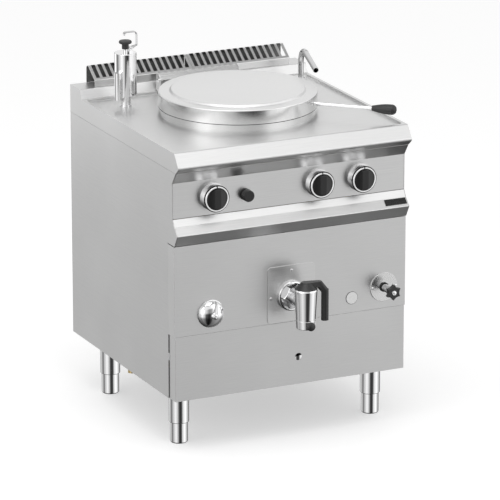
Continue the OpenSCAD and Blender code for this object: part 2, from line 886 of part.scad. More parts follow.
module igniter_unit() {
  placed() color(black) difference() {
    facing_front(igniter_x, gas_valve_y + 50, igniter_z) cylinder(h = gas_valve_y + 50 - panel_y + 10, r = 12);
    facing_front(igniter_x, gas_valve_y + 40, igniter_z) cylinder(h = 100, r = shaft_r + run_fit);
  }
}

module igniter_button() {
  front = panel_y - button_d;
  placed() color(black) difference() {
    union() {
      facing_front(igniter_x, panel_y - button_gap, igniter_z)
        rotate_extrude() polygon(concat(
          [[0, 0]],
          [[button_r, 0]],
          bend([button_r, 0], [button_r - 0.6, button_d - button_gap], [0, button_d - button_gap], 2.5, 5),
          [[0, button_d - button_gap]]
        ));
      facing_front(igniter_x, gas_valve_y + 15, igniter_z) cylinder(h = gas_valve_y + 15 - front - 5, r = shaft_r);
    }
    difference() {
      facing_front(igniter_x, panel_y, igniter_z) cylinder(h = 10 + button_travel + 1, r = 12 + slack);
      facing_front(igniter_x, panel_y + 1, igniter_z) cylinder(h = 30, r = shaft_r);
    }
  }
}

// Water pipes from the two inlets, through the valves, to the spout.
module water_pipes() {
  run_y = water_in_y - 80;
  hot_y = gas_valve_y + 40 + pipe_r + slack;
  placed() color(brass) {
    for (x = [spout_x - 40, spout_x]) inlet_stub(x, run_y);
    pipe([
      [spout_x - 40, run_y, base_z + 25], [spout_x - 40, run_y, base_z + 60], [spout_x - 40, hot_y, base_z + 60],
      [hot_knob_x, hot_y, base_z + 60], [hot_knob_x, hot_y, knob_z - 10]
    ], pipe_r);
    pipe([
      [spout_x, run_y, base_z + 25], [spout_x, run_y, base_z + 90], [spout_x, hot_y + 20, base_z + 90],
      [cold_knob_x, hot_y + 20, base_z + 90], [cold_knob_x, hot_y + 20, knob_z - 45],
      [cold_knob_x, hot_y, knob_z - 45], [cold_knob_x, hot_y, knob_z - 10]
    ], pipe_r);
    pipe([
      [hot_knob_x, hot_y, knob_z + 2 * pipe_r + 2], [cold_knob_x, hot_y, knob_z + 2 * pipe_r + 2],
      [spout_x, hot_y, knob_z + 2 * pipe_r + 2], [spout_x, spout_y, knob_z + 2 * pipe_r + 2],
      [spout_x, spout_y, recess_z + 4]
    ], pipe_r);
  }
}

// The jacket's filling, level and safety pipes, which run on into the jacket's wall.
module jacket_runs(r) {
  side = 139;
  join_y = pan_y - side;
  join_x = sqrt(jacket_r * jacket_r - side * side) - r;
  safe_x = sqrt(jacket_r * jacket_r - pow(valve_y - pan_y, 2)) - r;
  up_z = chamber_top_z + 40;
  safe_z = jacket_top_z - 50;
  pipe([[fill_x, front_in + 2, fill_z], [fill_x, join_y, fill_z], [fill_x, join_y, up_z], [-join_x, join_y, up_z]], r);
  pipe([
    [level_x, front_in + 2, level_z], [level_x, join_y, level_z], [level_x, join_y, up_z], [join_x, join_y, up_z]
  ], r);
  pipe([[valve_x, valve_y, recess_z + 4], [valve_x, valve_y, safe_z], [-safe_x, valve_y, safe_z]], r);
}

module jacket_pipes() {
  placed() color(brass) difference() {
    jacket_runs(pipe_r);
    translate([0, pan_y, jacket_bottom_z]) cylinder(h = jacket_top_z - jacket_bottom_z, r = jacket_r + slack);
  }
}

module drain_pipe() {
  outer = drain_r + 4;
  path = [
    [0, drain_down_y, pan_bottom_z - pan_wall - 0.1], [0, drain_down_y, tap_z],
    [0, sheet + seam, tap_z]
  ];
  placed() color(steel) difference() {
    pipe([path[0], path[1], [0, -tap_plate_t - 1, tap_z]], outer);
    pipe([path[0] + [0, 0, 5], path[1], [0, -20, tap_z]], drain_r);
  }
}

// The lid's pressed sheet: skirt, rim and raised disc.
module lid_shell() {
  step_out = disc_r + 5;
  line = concat(
    [[lid_r, lid_z]],
    bend([lid_r, lid_z], [lid_r, lid_top_z], [step_out, lid_top_z], lid_edge_r, 5),
    bend([lid_r, lid_top_z], [step_out, lid_top_z], [disc_r, lid_top_z + disc_h], 2, 3),
    bend([step_out, lid_top_z], [disc_r, lid_top_z + disc_h], [0, lid_top_z + disc_h], 3, 4),
    [[0, lid_top_z + disc_h]]
  );
  placed() color(steel) difference() {
    translate([0, pan_y, 0]) rotate_extrude($fn = 128) polygon(ribbon(line, sheet));
    handle_axis() translate([0, 0, lid_r - 20]) cylinder(h = 40, r = rod_r + run_fit);
  }
}

module lid_liner() {
  line = [[0, lid_floor_z], [liner_r, lid_floor_z], [liner_r, lid_top_z - sheet - 0.2]];
  placed() color(steel) translate([0, pan_y, 0]) rotate_extrude($fn = 96) polygon(ribbon(line, sheet));
}

// Local Z runs from the lid's middle out along the handle.
module handle_axis() {
  translate([0, pan_y, handle_z]) rotate([0, 90, -handle_turn]) children();
}

module lid_handle_rod() {
  placed() color(bright) handle_axis() {
    translate([0, 0, lid_r - 4]) cylinder(h = handle_l - grip_l + 4 + 20, r = rod_r);
    translate([0, 0, lid_r + slack]) cylinder(h = 3, r = rod_r + 2);
    translate([0, 0, lid_r - sheet - slack - 3]) cylinder(h = 3, r = rod_r + 2.5, $fn = 6);
  }
}

module lid_handle_grip() {
  end_r = rod_r + 2.2;
  placed() color(black) handle_axis() translate([0, 0, lid_r + handle_l - grip_l]) difference() {
    rotate_extrude() polygon([
      for (i = [0 : 24])
        let (t = i / 24, swell = sin(90 * min(1, t / 0.72)), tip = t < 0.8 ? 1 : sqrt(max(0, 1 - pow((t - 0.8) / 0.2, 2))))
          [i == 24 ? 0 : (end_r + (grip_r - end_r) * swell) * tip, grip_l * t],
      [0, 0]
    ]);
    translate([0, 0, -1]) cylinder(h = 21, r = rod_r + 0.05);
  }
}

// Hinge: a bracket on the worktop, a channel that turns with the lid, the pin and two springs.
hinge_outline = [
  [hinge_y - hinge_nose, hinge_z - 12], [hinge_y + hinge_back, hinge_z - 12],
  [hinge_y + hinge_back, hinge_z + hinge_top], [hinge_y + 1, hinge_z + hinge_top],
  [hinge_y - hinge_nose, hinge_z + hinge_top - 15]
];

module hinge_bracket() {
  cheek = [
    [hinge_y - hinge_nose - 1, recess_z + 3], [hinge_y + 5, recess_z + 3],
    [hinge_y + 5, worktop_z + 1.5], [hinge_y + hinge_back + 1, worktop_z + 3],
    [hinge_y + hinge_back + 1, hinge_z + hinge_top + 1], [hinge_y, hinge_z + hinge_top + 1],
    [hinge_y - hinge_nose - 1, hinge_z + hinge_top - 15]
  ];
  placed() color(steel) {
    for (x = [-1, 1]) difference() {
      translate([x * (hinge_half_w + seam + cheek_t / 2), 0, 0]) across(cheek_t) polygon(cheek);
      rod([-half_w, hinge_y, hinge_z], [half_w, hinge_y, hinge_z], pin_r);
    }
    translate([-hinge_half_w - seam - cheek_t, hinge_y - 22, recess_z + 0.05])
      cube([2 * (hinge_half_w + seam + cheek_t), 28, 3]);
    for (x = [-1, 1]) translate([x * (hinge_half_w - 14), hinge_y - 14, recess_z + 3]) cylinder(h = 4, r = 6, $fn = 6);
  }
}

module hinge_channel() {
  inner = shifted(hinge_outline, -sheet);
  placed() color(steel) difference() {
    union() {
      difference() {
        across(2 * hinge_half_w) polygon(hinge_outline);
        across(2 * (hinge_half_w - sheet)) polygon(inner);
        translate([sheet - hinge_half_w, hinge_y - hinge_nose + sheet, hinge_z - 20])
          cube([2 * (hinge_half_w - sheet), hinge_nose + hinge_back - 2 * sheet, 12]);
      }
      for (x = [-1, 1]) {
        translate([x * (hinge_half_w - 5), 0, 0]) across(10) polygon(hinge_outline);
        translate([x * arm_x - 15, pan_y + lid_r - 20, hinge_z - 10])
          cube([30, hinge_y - pan_y - lid_r + 20 - hinge_nose + 1, 14]);
      }
    }
    rod([-half_w, hinge_y, hinge_z], [half_w, hinge_y, hinge_z], pin_r + run_fit);
    translate([0, pan_y, 0]) cylinder(h = 2 * worktop_z, r = lid_r + slack, $fn = 128);
  }
}

module hinge_pin() {
  reach = hinge_half_w + seam + cheek_t + 2;
  placed() color(bright) {
    rod([-reach, hinge_y, hinge_z], [reach, hinge_y, hinge_z], pin_r);
  }
}

// The close turns of each spring, as one ribbed sleeve on the pin.
module hinge_springs() {
  wire = 3;
  turns = 10;
  inner_r = pin_r + 0.1;
  ribs = [
    for (i = [0 : turns - 1], a = [0 : 3])
      [inner_r + wire / 2 + wire / 2 * sin(180 * a / 4), wire * (i + a / 4)]
  ];
  placed() color(iron) for (side = [-1, 1])
    translate([side * (arm_x + 30) - wire * turns / 2, hinge_y, hinge_z]) rotate([0, 90, 0])
      rotate_extrude() polygon(concat([[inner_r, 0]], ribs, [[inner_r + wire / 2, wire * turns], [inner_r, wire * turns]]));
}

// Valve group on the left of the worktop.
module valve_foot() {
  placed() color(bright) translate([valve_x, valve_y, 0]) difference() {
    union() {
      translate([0, 0, recess_z + 0.05]) cylinder(h = valve_lift - 0.1, r = valve_foot_r);
      translate([0, 0, recess_z + 0.05]) cylinder(h = 4, r = valve_foot_r + 2);
    }
    translate([0, 0, recess_z - 5]) cylinder(h = valve_lift + 20, r = pipe_r + slack);
  }
}

module valve_body() {
  wall = 3;
  reach = valve_r + side_tube_r - 1;
  placed() color(bright) translate([valve_x, valve_y, 0]) difference() {
    union() {
      rotate_extrude() polygon(concat(
        [[0, valve_z]],
        bend([0, valve_z], [valve_r, valve_z], [valve_r, valve_top_z], 1.5, 3),
        bend([valve_r, valve_z], [valve_r, valve_top_z], [0, valve_top_z], 1.5, 3),
        [[0, valve_top_z]]
      ));
      rotate([0, 0, side_tube_turn]) translate([reach, 0, valve_z - 7])
        cylinder(h = side_tube_h, r = side_tube_r);
      for (y = [-6, 6]) translate([lever_post_x, lever_post_y + y - 1.5, valve_top_z - 1]) {
        translate([-5, 0, 0]) cube([10, 3, 11]);
        translate([0, 3, 11]) rotate([90, 0, 0]) cylinder(h = 3, r = 5);
      }
    }
    translate([0, 0, valve_z + wall]) cylinder(h = valve_h - 2 * wall, r = valve_r - wall);
    translate([0, 0, valve_z - 1]) cylinder(h = 10, r = pipe_r);
    translate([0, 0, valve_top_z - 10]) cylinder(h = 20, r = stem_r + run_fit);
    rotate([0, 0, side_tube_turn]) translate([reach, 0, valve_z - 10])
      cylinder(h = side_tube_h, r = side_tube_r - 2);
    translate([lever_post_x, 50, lever_pin_z]) rotate([90, 0, 0]) cylinder(h = 100, r = 2 + run_fit);
  }
}

module vent_stem() {
  placed() color(bright) translate([valve_x, valve_y, 0]) {
    translate([0, 0, valve_z + vent_stop_up]) cylinder(h = vent_knob_z - valve_z - vent_stop_up + 14, r = stem_r);
    translate([0, 0, valve_z + vent_stop_up]) cylinder(h = 10, r = stem_r + 10);
  }
}

module vent_knob() {
  edge = 8;
  placed() color(black) translate([valve_x, valve_y, vent_knob_z]) difference() {
    rotate_extrude() polygon(concat(
      [[0, 0], [vent_knob_r * 0.54, 0], [vent_knob_r * 0.54, 15]],
      bend([vent_knob_r * 0.54, 15], [vent_knob_r, 15], [vent_knob_r, 15 + edge], 3, 4),
      bend([vent_knob_r, 15], [vent_knob_r, 15 + edge], [0, 17 + edge], 3.5, 4),
      [[0, 17 + edge]]
    ));
    translate([0, 0, -1]) cylinder(h = 16, r = stem_r + 0.05);
  }
}

// A bent strap that lifts the valve: two legs, a top bar and its pivot pin.
module relief_lever() {
  strap_t = 2.5;
  strap_w = 12;
  top_z = valve_top_z + 57;
  left_x = -vent_knob_r - 4;
  right_x = lever_post_x + 11.5;
  lug_x = lever_post_x - 3.2;
  foot = [right_x, lever_pin_z + 6];
  line = concat(
    [foot],
    bend(foot, [right_x, top_z], [left_x, top_z], 10, 5),
    bend([right_x, top_z], [left_x, top_z], [left_x, top_z - 18], 7, 4),
    [[left_x, top_z - 18]]
  );
  placed() color(bright) translate([valve_x, valve_y + lever_post_y, 0]) {
    rotate([90, 0, 0]) linear_extrude(strap_w, center = true) polygon(ribbon(line, strap_t));
    translate([0, 0, lever_pin_z]) rotate([90, 0, 0]) linear_extrude(7.8, center = true) polygon([
      [lug_x, -4], [lever_post_x + 5, -4], [right_x, 1], [right_x, 7],
      [lever_post_x + 4, 7], [lever_post_x + 4, 4.5], [lug_x, 4.5]
    ]);
    translate([lever_post_x, 8.5, lever_pin_z]) rotate([90, 0, 0]) cylinder(h = 17, r = 2);
  }
}

// Spout on the right of the worktop.
module spout_socket() {
  placed() color(bright) translate([spout_x, spout_y, 0]) difference() {
    union() {
      translate([0, 0, recess_z + 0.05]) cylinder(h = 4, r = spout_r + 9);
      translate([0, 0, recess_z + 4]) cylinder(h = 10, r = spout_r + 7, $fn = 6);
      translate([0, 0, recess_z + 14]) cylinder(h = 6, r = spout_r + 3.5);
    }
    translate([0, 0, recess_z - 5]) cylinder(h = 40, r = spout_r + run_fit);
  }
}

module spout_tube() {
  wall = 1.2;
  inner_r = spout_r - wall;
  start_z = recess_z + 5;
  joint = 0.2;
  placed() color(bright) translate([spout_x, spout_y, 0]) rotate([0, 0, -spout_turn]) {
    translate([0, 0, start_z]) ring(inner_r, spout_r, spout_bend_z - start_z);
    translate([0, -spout_bend_r, spout_bend_z]) {
      rotate([90, 0, 90]) rotate_extrude(angle = 90 + spout_drop) translate([spout_bend_r, 0]) difference() {
        circle(spout_r);
        circle(inner_r);
      }
      rotate([90 + spout_drop, 0, 0]) translate([0, spout_bend_r, 0]) {
        translate([0, 0, joint]) ring(inner_r, spout_r, spout_arm - joint);
        translate([0, 0, -2]) ring(spout_r - wall / 2, spout_r + 0.5, 5);
      }
    }
  }
}

// Chrome bezels of the three knobs, with a dark groove round the dial face.
module knob_bezels() {
  placed() color(bright) for (x = [gas_knob_x, hot_knob_x, cold_knob_x])
    facing_front(x, panel_y - 0.05, knob_z) rotate_extrude() polygon(concat(
      [[knob_r + 3, 0], [bezel_r + 1.2, 0]],
      bend([bezel_r + 1.2, 0], [bezel_r, bezel_d], [knob_r, bezel_d], 1.5, 4),
      [[bezel_r - 1.6, bezel_d], [bezel_r - 1.6, bezel_d - 1.2], [bezel_r - 2.8, bezel_d - 1.2]],
      [[bezel_r - 2.8, bezel_d], [knob_r + slack, bezel_d], [knob_r + slack, bezel_d - 6]],
      [[knob_r + 3, bezel_d - 8]]
    ));
}

// Black turning knob with a grip ridge and its shaft.
module turning_knob(x) {
  face = bezel_d + knob_proud;
  dish = face - ridge_h;
  placed() color(black) facing_front(x, panel_y, knob_z) {
    difference() {
      translate([0, 0, 8]) rotate_extrude() polygon(concat(
        [[0, 0], [knob_r - 2, 0], [knob_r, 2]],
        bend([knob_r, 2], [knob_r, face - 8], [0, face - 8], 2, 4),
        [[0, face - 8]]
      ));
      for (side = [-1, 1]) translate([side * (ridge_w / 2 + 30), 0, dish + 60])
        rotate([90, 0, 0]) cylinder(h = 80, r = 60, center = true, $fn = 96);
    }
    translate([0, 0, -20]) cylinder(h = 30, r = shaft_r);
  }
}

module gas_knob() {
  turning_knob(gas_knob_x);
}

module hot_water_knob() {
  turning_knob(hot_knob_x);
}

module cold_water_knob() {
  turning_knob(cold_knob_x);
}

module screw_head(x, z, y) {
  facing_front(x, y, z) rotate_extrude($fn = 24) polygon([[0, 0], [4, 0], [3.4, 1.6], [2, 2.3], [0, 2.5]]);
}

module tap_plate() {
  placed() color(steel) {
    difference() {
      facing_front(0, -0.05, tap_z + 6) linear_extrude(tap_plate_t) rounded_plate(tap_plate_w, tap_plate_h, 12);
      facing_front(0, 5, tap_z) cylinder(h = 20, r = drain_r + 4 + slack);
    }
    screw_head(0, tap_z + screw_up, -tap_plate_t);
    for (x = [-screw_side, screw_side]) screw_head(x, tap_z - 2, -tap_plate_t);
  }
}

module tap_nut() {
  flange_d = 12;
  hex_d = 17;
  placed() color(bright) difference() {
    union() {
      facing_front(0, -tap_plate_t - 0.1, tap_z) rotate_extrude() polygon([
        [0, 0], [nut_r, 0], [nut_r, flange_d - 4], [nut_r - 1.5, flange_d - 1], [nut_r - 4, flange_d], [0, flange_d]
      ]);
      facing_front(0, -tap_plate_t - flange_d + 1, tap_z) cylinder(h = hex_d + 1, r = nut_r - 8.5, $fn = 6);
    }
    facing_front(0, 10, tap_z) cylinder(h = 60, r = drain_r + 4 + slack);
  }
}

module tap_body() {
  neck_r = drain_r + 4;
  foot_h = 23.6;
  placed() color(bright) difference() {
    union() {
      translate([0, tap_y, 0]) rotate_extrude() polygon([
        [0, tap_foot_z], [tap_foot_r - 1, tap_foot_z], [tap_foot_r, tap_foot_z + 1.5],
        [tap_foot_r + 0.9, tap_foot_z + foot_h - 1], [tap_foot_r + 0.2, tap_foot_z + foot_h],
        [tap_foot_r + 1.2, tap_foot_z + foot_h + 1], [tap_top_r, tap_top_z - 4], [tap_top_r - 1.5, tap_top_z],
        [0, tap_top_z]
      ]);
      facing_front(0, -tap_plate_t - 1.3, tap_z) cylinder(h = tap_reach - tap_plate_t - 10, r = neck_r);
    }
    facing_front(0, 0, tap_z) cylinder(h = tap_reach, r = drain_r - 2);
    translate([0, tap_y, tap_foot_z - 1]) cylinder(h = tap_z - tap_foot_z + drain_r, r = drain_r);
    translate([0, tap_y, tap_foot_z - 1]) cylinder(h = 1 + outlet_depth, r = drain_r + 2);
    translate([0, tap_y, tap_z]) cylinder(h = 100, r = 10 + run_fit);
    facing_front(0, tap_y, lock_z) cylinder(h = 60, r = 4 + run_fit);
  }
}

// Black lever on the tap: cap, arm and hanging grip, with its spindle.
module tap_lever() {
  rise = 18;
  arm_up = 3;
  elbow_x = lever_reach - 18;
  cap_z = tap_top_z + slack;
  placed() color(black) translate([0, tap_y, 0]) rotate([0, 0, -lever_turn]) {
    translate([0, 0, cap_z]) cylinder(h = rise - 1, r1 = tap_top_r - 0.5, r2 = 14);
    translate([0, 0, cap_z - 30]) cylinder(h = 32, r = 10);
    hull() {
      translate([0, 0, cap_z + arm_up + 2]) cylinder(h = rise - arm_up - 2, r = 13, $fn = 32);
      translate([elbow_x, 0, cap_z + arm_up]) cylinder(h = rise - arm_up, r = 8, $fn = 32);
    }
    hull() {
      translate([elbow_x, 0, cap_z + arm_up]) cylinder(h = rise - arm_up, r = 8, $fn = 32);
      translate([lever_reach, 0, cap_z - 14]) cylinder(h = 6, r = lever_r, $fn = 32);
    }
    translate([lever_reach, 0, tap_top_z - lever_l]) cylinder(h = lever_l - 6, r = lever_r);
  }
}

module tap_lock_knob() {
  start = tap_foot_r + 1;
  dome = 6;
  placed() color(black) {
    facing_front(0, tap_y - drain_r - 2, lock_z) cylinder(h = start - drain_r, r = 4);
    facing_front(0, tap_y - start, lock_z) rotate_extrude() polygon(concat(
      [[0, 0]],
      bend([0, 0], [lock_r, 0], [lock_r, lock_t], 2, 4),
      [for (i = [0 : 8]) [lock_r * cos(11.25 * i), lock_t - dome + dome * sin(11.25 * i)]]
    ));
  }
}

// Chrome dome with a raised grip bar, on the jacket's filling valve.
module fill_knob() {
  dome = 12;
  blade_w = 8;
  placed() color(bright) facing_front(fill_x, -slack, fill_z) {
    rotate_extrude() polygon(concat(
      [[0, 0]],
      bend([0, 0], [fill_r, 0], [fill_r, 6], 1, 2),
      [for (i = [0 : 8]) [fill_r * cos(10 * i), 5 + (dome - 5) * sin(10 * i)]],
      [[0, dome]]
    ));
    intersection() {
      translate([-blade_w / 2, -fill_r, 1]) cube([blade_w, 2 * fill_r, 24]);
      cylinder(h = 30, r = fill_r - 2);
      translate([0, 0, -22]) rotate([0, 90, 0]) translate([0, 0, -20]) cylinder(h = 40, r = fill_r + 9);
    }
    translate([0, 0, -2]) cylinder(h = 4, r = pipe_r);
  }
}

module level_flange() {
  placed() color(steel) {
    difference() {
      union() {
        facing_front(level_x, -0.05, level_z) cylinder(h = 2.5, r = flange_r);
        facing_front(level_x, -2, level_z) cylinder(h = wheel_reach - 3, r = housing_r);
      }
      facing_front(level_x, 5, level_z) cylinder(h = wheel_reach + 10, r = stem_bore_r);
    }
    for (x = [-1, 1]) screw_head(level_x + x * flange_screw_x, level_z, -2.5);
  }
}

module level_stem() {
  placed() color(bright) {
    facing_front(level_x, -0.5, level_z) cylinder(h = wheel_reach + wheel_t + 1, r = stem_bore_r - run_fit);
    facing_front(level_x, -wheel_reach - wheel_t, level_z) cylinder(h = 2.5, r = 6.6, $fn = 6);
  }
}

// Six-pointed star with hollow sides.
module level_handwheel() {
  scoop_r = 20;
  scoop_in = 3;
  side_r = wheel_r * cos(30);
  placed() color(black) facing_front(level_x, -wheel_reach, level_z) difference() {
    rotate([0, 0, 28]) cylinder(h = wheel_t, r = wheel_r, $fn = 6);
    translate([0, 0, -1]) cylinder(h = wheel_t + 2, r = stem_bore_r);
    for (i = [0 : 5]) rotate([0, 0, 60 * i + 58])
      translate([side_r + scoop_r - scoop_in, 0, -1]) cylinder(h = wheel_t + 2, r = scoop_r);
  }
}

module plug_disc() {
  placed() color(steel) {
    facing_front(plug_x, -0.05, plug_z) cylinder(h = 1.6, r = plug_r);
    facing_front(plug_x, 6, plug_z) cylinder(h = 7, r = plug_r - 3.3);
  }
}

worktop();
flue_grille_left();
flue_grille_right();
side_panel_left();
side_panel_right();
back_panel();
control_panel();
front_rail();
blank_plate();
upper_front_panel();
lower_front_panel();
base_frame();
leg_tubes();
foot_front_left();
foot_front_right();
foot_rear_left();
foot_rear_right();
inner_pan();
steam_jacket();
insulation();
combustion_chamber();
flue_duct();
burner();
gas_pipes();
gas_valve();
igniter_unit();
igniter_button();
water_valves();
water_pipes();
jacket_pipes();
drain_pipe();
lid_shell();
lid_liner();
lid_handle_rod();
lid_handle_grip();
hinge_bracket();
hinge_channel();
hinge_pin();
hinge_springs();
valve_foot();
valve_body();
vent_stem();
vent_knob();
relief_lever();
spout_socket();
spout_tube();
knob_bezels();
gas_knob();
hot_water_knob();
cold_water_knob();
tap_plate();
tap_nut();
tap_body();
tap_lever();
tap_lock_knob();
fill_knob();
level_flange();
level_stem();
level_handwheel();
plug_disc();
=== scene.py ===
import bpy
import json
import math
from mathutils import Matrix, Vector

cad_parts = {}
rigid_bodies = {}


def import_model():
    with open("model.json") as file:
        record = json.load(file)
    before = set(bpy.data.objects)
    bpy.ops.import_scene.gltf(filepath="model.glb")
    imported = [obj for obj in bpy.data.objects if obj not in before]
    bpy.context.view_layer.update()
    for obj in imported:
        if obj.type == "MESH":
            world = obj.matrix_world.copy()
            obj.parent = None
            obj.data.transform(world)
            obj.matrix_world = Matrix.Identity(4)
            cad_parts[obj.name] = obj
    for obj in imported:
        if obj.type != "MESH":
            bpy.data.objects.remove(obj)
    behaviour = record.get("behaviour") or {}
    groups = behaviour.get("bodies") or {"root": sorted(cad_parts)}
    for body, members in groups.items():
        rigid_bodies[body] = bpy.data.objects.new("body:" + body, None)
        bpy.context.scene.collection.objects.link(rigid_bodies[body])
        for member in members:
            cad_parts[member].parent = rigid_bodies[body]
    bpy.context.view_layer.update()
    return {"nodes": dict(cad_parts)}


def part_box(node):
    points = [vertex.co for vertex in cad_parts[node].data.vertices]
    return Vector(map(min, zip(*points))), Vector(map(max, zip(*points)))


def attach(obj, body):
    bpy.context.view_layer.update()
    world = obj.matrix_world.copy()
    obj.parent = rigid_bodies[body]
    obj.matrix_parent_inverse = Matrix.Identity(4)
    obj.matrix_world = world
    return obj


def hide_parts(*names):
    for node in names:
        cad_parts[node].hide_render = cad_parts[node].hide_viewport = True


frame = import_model()
bpy.ops.object.select_all(action="DESELECT")

# The camera stands to the left of the front, a little above the worktop, with a long lens,
# as a catalogue photographer stands for a floor standing appliance.
camera_spot = (-5.026, -10.59225, 4.011)
camera_tilt = 73.145
camera_turn = -25.43
bpy.ops.object.camera_add(location=camera_spot)
camera = bpy.context.object
camera.rotation_euler = (math.radians(camera_tilt), 0, math.radians(camera_turn))
camera.data.lens = 317.8
camera.data.sensor_width = 36
camera.data.clip_end = 60
bpy.context.scene.camera = camera
bpy.context.scene.view_settings.view_transform = "Standard"

# The studio is a white sweep that runs out to white, with soft boxes round it. The metal
# sees the boxes and the dark gaps between them, as polished steel does in a studio.
bpy.ops.mesh.primitive_circle_add(vertices=96, radius=16, fill_type="NGON", location=(0, 0, 0))
floor = bpy.context.object
floor.name = "studio_floor"
floor.visible_glossy = False
floor_glow = 0.5
floor_paint = bpy.data.materials.new("white_sweep")
floor_paint.use_nodes = True
tree = floor_paint.node_tree
tree.nodes.remove(tree.nodes["Principled BSDF"])
seen = tree.nodes.new("ShaderNodeLightPath")
matt = tree.nodes.new("ShaderNodeBsdfDiffuse")
matt.inputs["Color"].default_value = (0.62, 0.62, 0.62, 1)
glow = tree.nodes.new("ShaderNodeEmission")
glow.inputs["Color"].default_value = (1, 1, 1, 1)
either = tree.nodes.new("ShaderNodeMath")
either.operation = "MAXIMUM"
any_seen = tree.nodes.new("ShaderNodeMath")
any_seen.operation = "MAXIMUM"
lift = tree.nodes.new("ShaderNodeMath")
lift.operation = "MULTIPLY"
lift.inputs[1].default_value = floor_glow
both = tree.nodes.new("ShaderNodeAddShader")
tree.links.new(seen.outputs["Is Camera Ray"], either.inputs[0])
tree.links.new(seen.outputs["Is Glossy Ray"], either.inputs[1])
tree.links.new(either.outputs[0], any_seen.inputs[0])
tree.links.new(seen.outputs["Is Transmission Ray"], any_seen.inputs[1])
tree.links.new(any_seen.outputs[0], lift.inputs[0])
tree.links.new(lift.outputs[0], glow.inputs["Strength"])
tree.links.new(matt.outputs[0], both.inputs[0])
tree.links.new(glow.outputs[0], both.inputs[1])
tree.links.new(both.outputs[0], tree.nodes["Material Output"].inputs["Surface"])
floor.data.materials.append(floor_paint)

studio = bpy.data.worlds.new("studio")
studio.use_nodes = True
bpy.context.scene.world = studio
tree = studio.node_tree
tree.nodes.clear()


def studio_node(kind, **settings):
    """A node of the studio's light, with its settings."""
    made = tree.nodes.new(kind)
    for name, value in settings.items():
        setattr(made, name, value)
    return made


def studio_ramp(stops):
    """Levels of light at places from 0 to 1, eased from one to the next."""
    ramp = tree.nodes.new("ShaderNodeValToRGB")
    ramp.color_ramp.interpolation = "EASE"
    while len(ramp.color_ramp.elements) > 1:
        ramp.color_ramp.elements.remove(ramp.color_ramp.elements[0])
    for index, (place, level) in enumerate(stops):
        if index == 0:
            ramp.color_ramp.elements[0].position = place
            stop = ramp.color_ramp.elements[0]
        else:
            stop = ramp.color_ramp.elements.new(place)
        stop.color = (level, level, level, 1)
    return ramp


# Compass angle round the object, from -180 to 180 degrees, as 0 to 1.
direction = studio_node("ShaderNodeTexCoord")
split = studio_node("ShaderNodeSeparateXYZ")
compass = studio_node("ShaderNodeMath", operation="ARCTAN2")
turn = studio_node("ShaderNodeMapRange")
turn.inputs["From Min"].default_value = -math.pi
turn.inputs["From Max"].default_value = math.pi
tree.links.new(direction.outputs["Generated"], split.inputs[0])
tree.links.new(split.outputs["Y"], compass.inputs[0])
tree.links.new(split.outputs["X"], compass.inputs[1])
tree.links.new(compass.outputs[0], turn.inputs["Value"])


def at(angle):
    """The place of a compass angle on a ring."""
    return (angle + 180) / 360


low_ring = studio_ramp([
    (0.0, 0.75), (at(-150), 1.2), (at(-128), 0.75), (at(-112), 0.1), (at(-92), 0.03), (at(-80), 0.15),
    (at(-66), 0.95), (at(-35), 1.4), (at(-5), 0.75), (at(20), 0.22), (at(50), 0.36), (at(75), 0.4),
    (at(90), 0.5), (at(103), 0.68), (at(115), 0.88), (at(127), 0.68), (at(142), 0.45), (at(158), 0.2),
    (1.0, 0.75),
])
mid_ring = studio_ramp([
    (0.0, 1.4), (at(-145), 1.7), (at(-117), 0.8), (at(-92), 0.3), (at(-82), 0.4), (at(-61), 1.55),
    (at(-33), 1.4), (at(-5), 1.2), (at(23), 0.5), (at(48), 0.95), (at(66), 0.95), (at(80), 0.5),
    (at(103), 0.6), (at(131), 0.5), (at(159), 0.45), (at(170), 0.9), (1.0, 1.4),
])
high_ring = studio_ramp([
    (0.0, 1.1), (at(-130), 1.0), (at(-95), 0.9), (at(-55), 1.6), (at(-10), 1.1), (at(60), 1.05),
    (at(130), 0.95), (1.0, 1.1),
])
for ring in (low_ring, mid_ring, high_ring):
    tree.links.new(turn.outputs["Result"], ring.inputs["Fac"])
height = studio_node("ShaderNodeMapRange")
height.inputs["From Min"].default_value = -1
height.inputs["From Max"].default_value = 1
tree.links.new(split.outputs["Z"], height.inputs["Value"])
rise = studio_ramp([(0.0, 0.0), (0.42, 0.0), (0.53, 1.0), (1.0, 1.0)])
climb = studio_ramp([(0.0, 0.0), (0.66, 0.0), (0.73, 1.0), (1.0, 1.0)])
fade = studio_ramp([(0.0, 0.12), (0.2, 0.25), (0.36, 1.0), (0.86, 1.0), (0.92, 0.34), (1.0, 0.3)])
for ramp in (rise, climb, fade):
    tree.links.new(height.outputs["Result"], ramp.inputs["Fac"])
# A Mix node's colours come in at its sockets 6 and 7, and go out at its socket 2.
first_in = 6
second_in = 7
colour_out = 2
lower = studio_node("ShaderNodeMix", data_type="RGBA")
tree.links.new(rise.outputs["Color"], lower.inputs["Factor"])
tree.links.new(low_ring.outputs["Color"], lower.inputs[first_in])
tree.links.new(mid_ring.outputs["Color"], lower.inputs[second_in])
rings = studio_node("ShaderNodeMix", data_type="RGBA")
tree.links.new(climb.outputs["Color"], rings.inputs["Factor"])
tree.links.new(lower.outputs[colour_out], rings.inputs[first_in])
tree.links.new(high_ring.outputs["Color"], rings.inputs[second_in])
shaded = studio_node("ShaderNodeMix", data_type="RGBA", blend_type="MULTIPLY")
shaded.inputs["Factor"].default_value = 1
tree.links.new(rings.outputs[colour_out], shaded.inputs[first_in])
tree.links.new(fade.outputs["Color"], shaded.inputs[second_in])
paths = studio_node("ShaderNodeLightPath")
seen_metal = studio_node("ShaderNodeMath", operation="MAXIMUM")
tree.links.new(paths.outputs["Is Glossy Ray"], seen_metal.inputs[0])
tree.links.new(paths.outputs["Is Transmission Ray"], seen_metal.inputs[1])
metal_light = studio_node("ShaderNodeBackground")
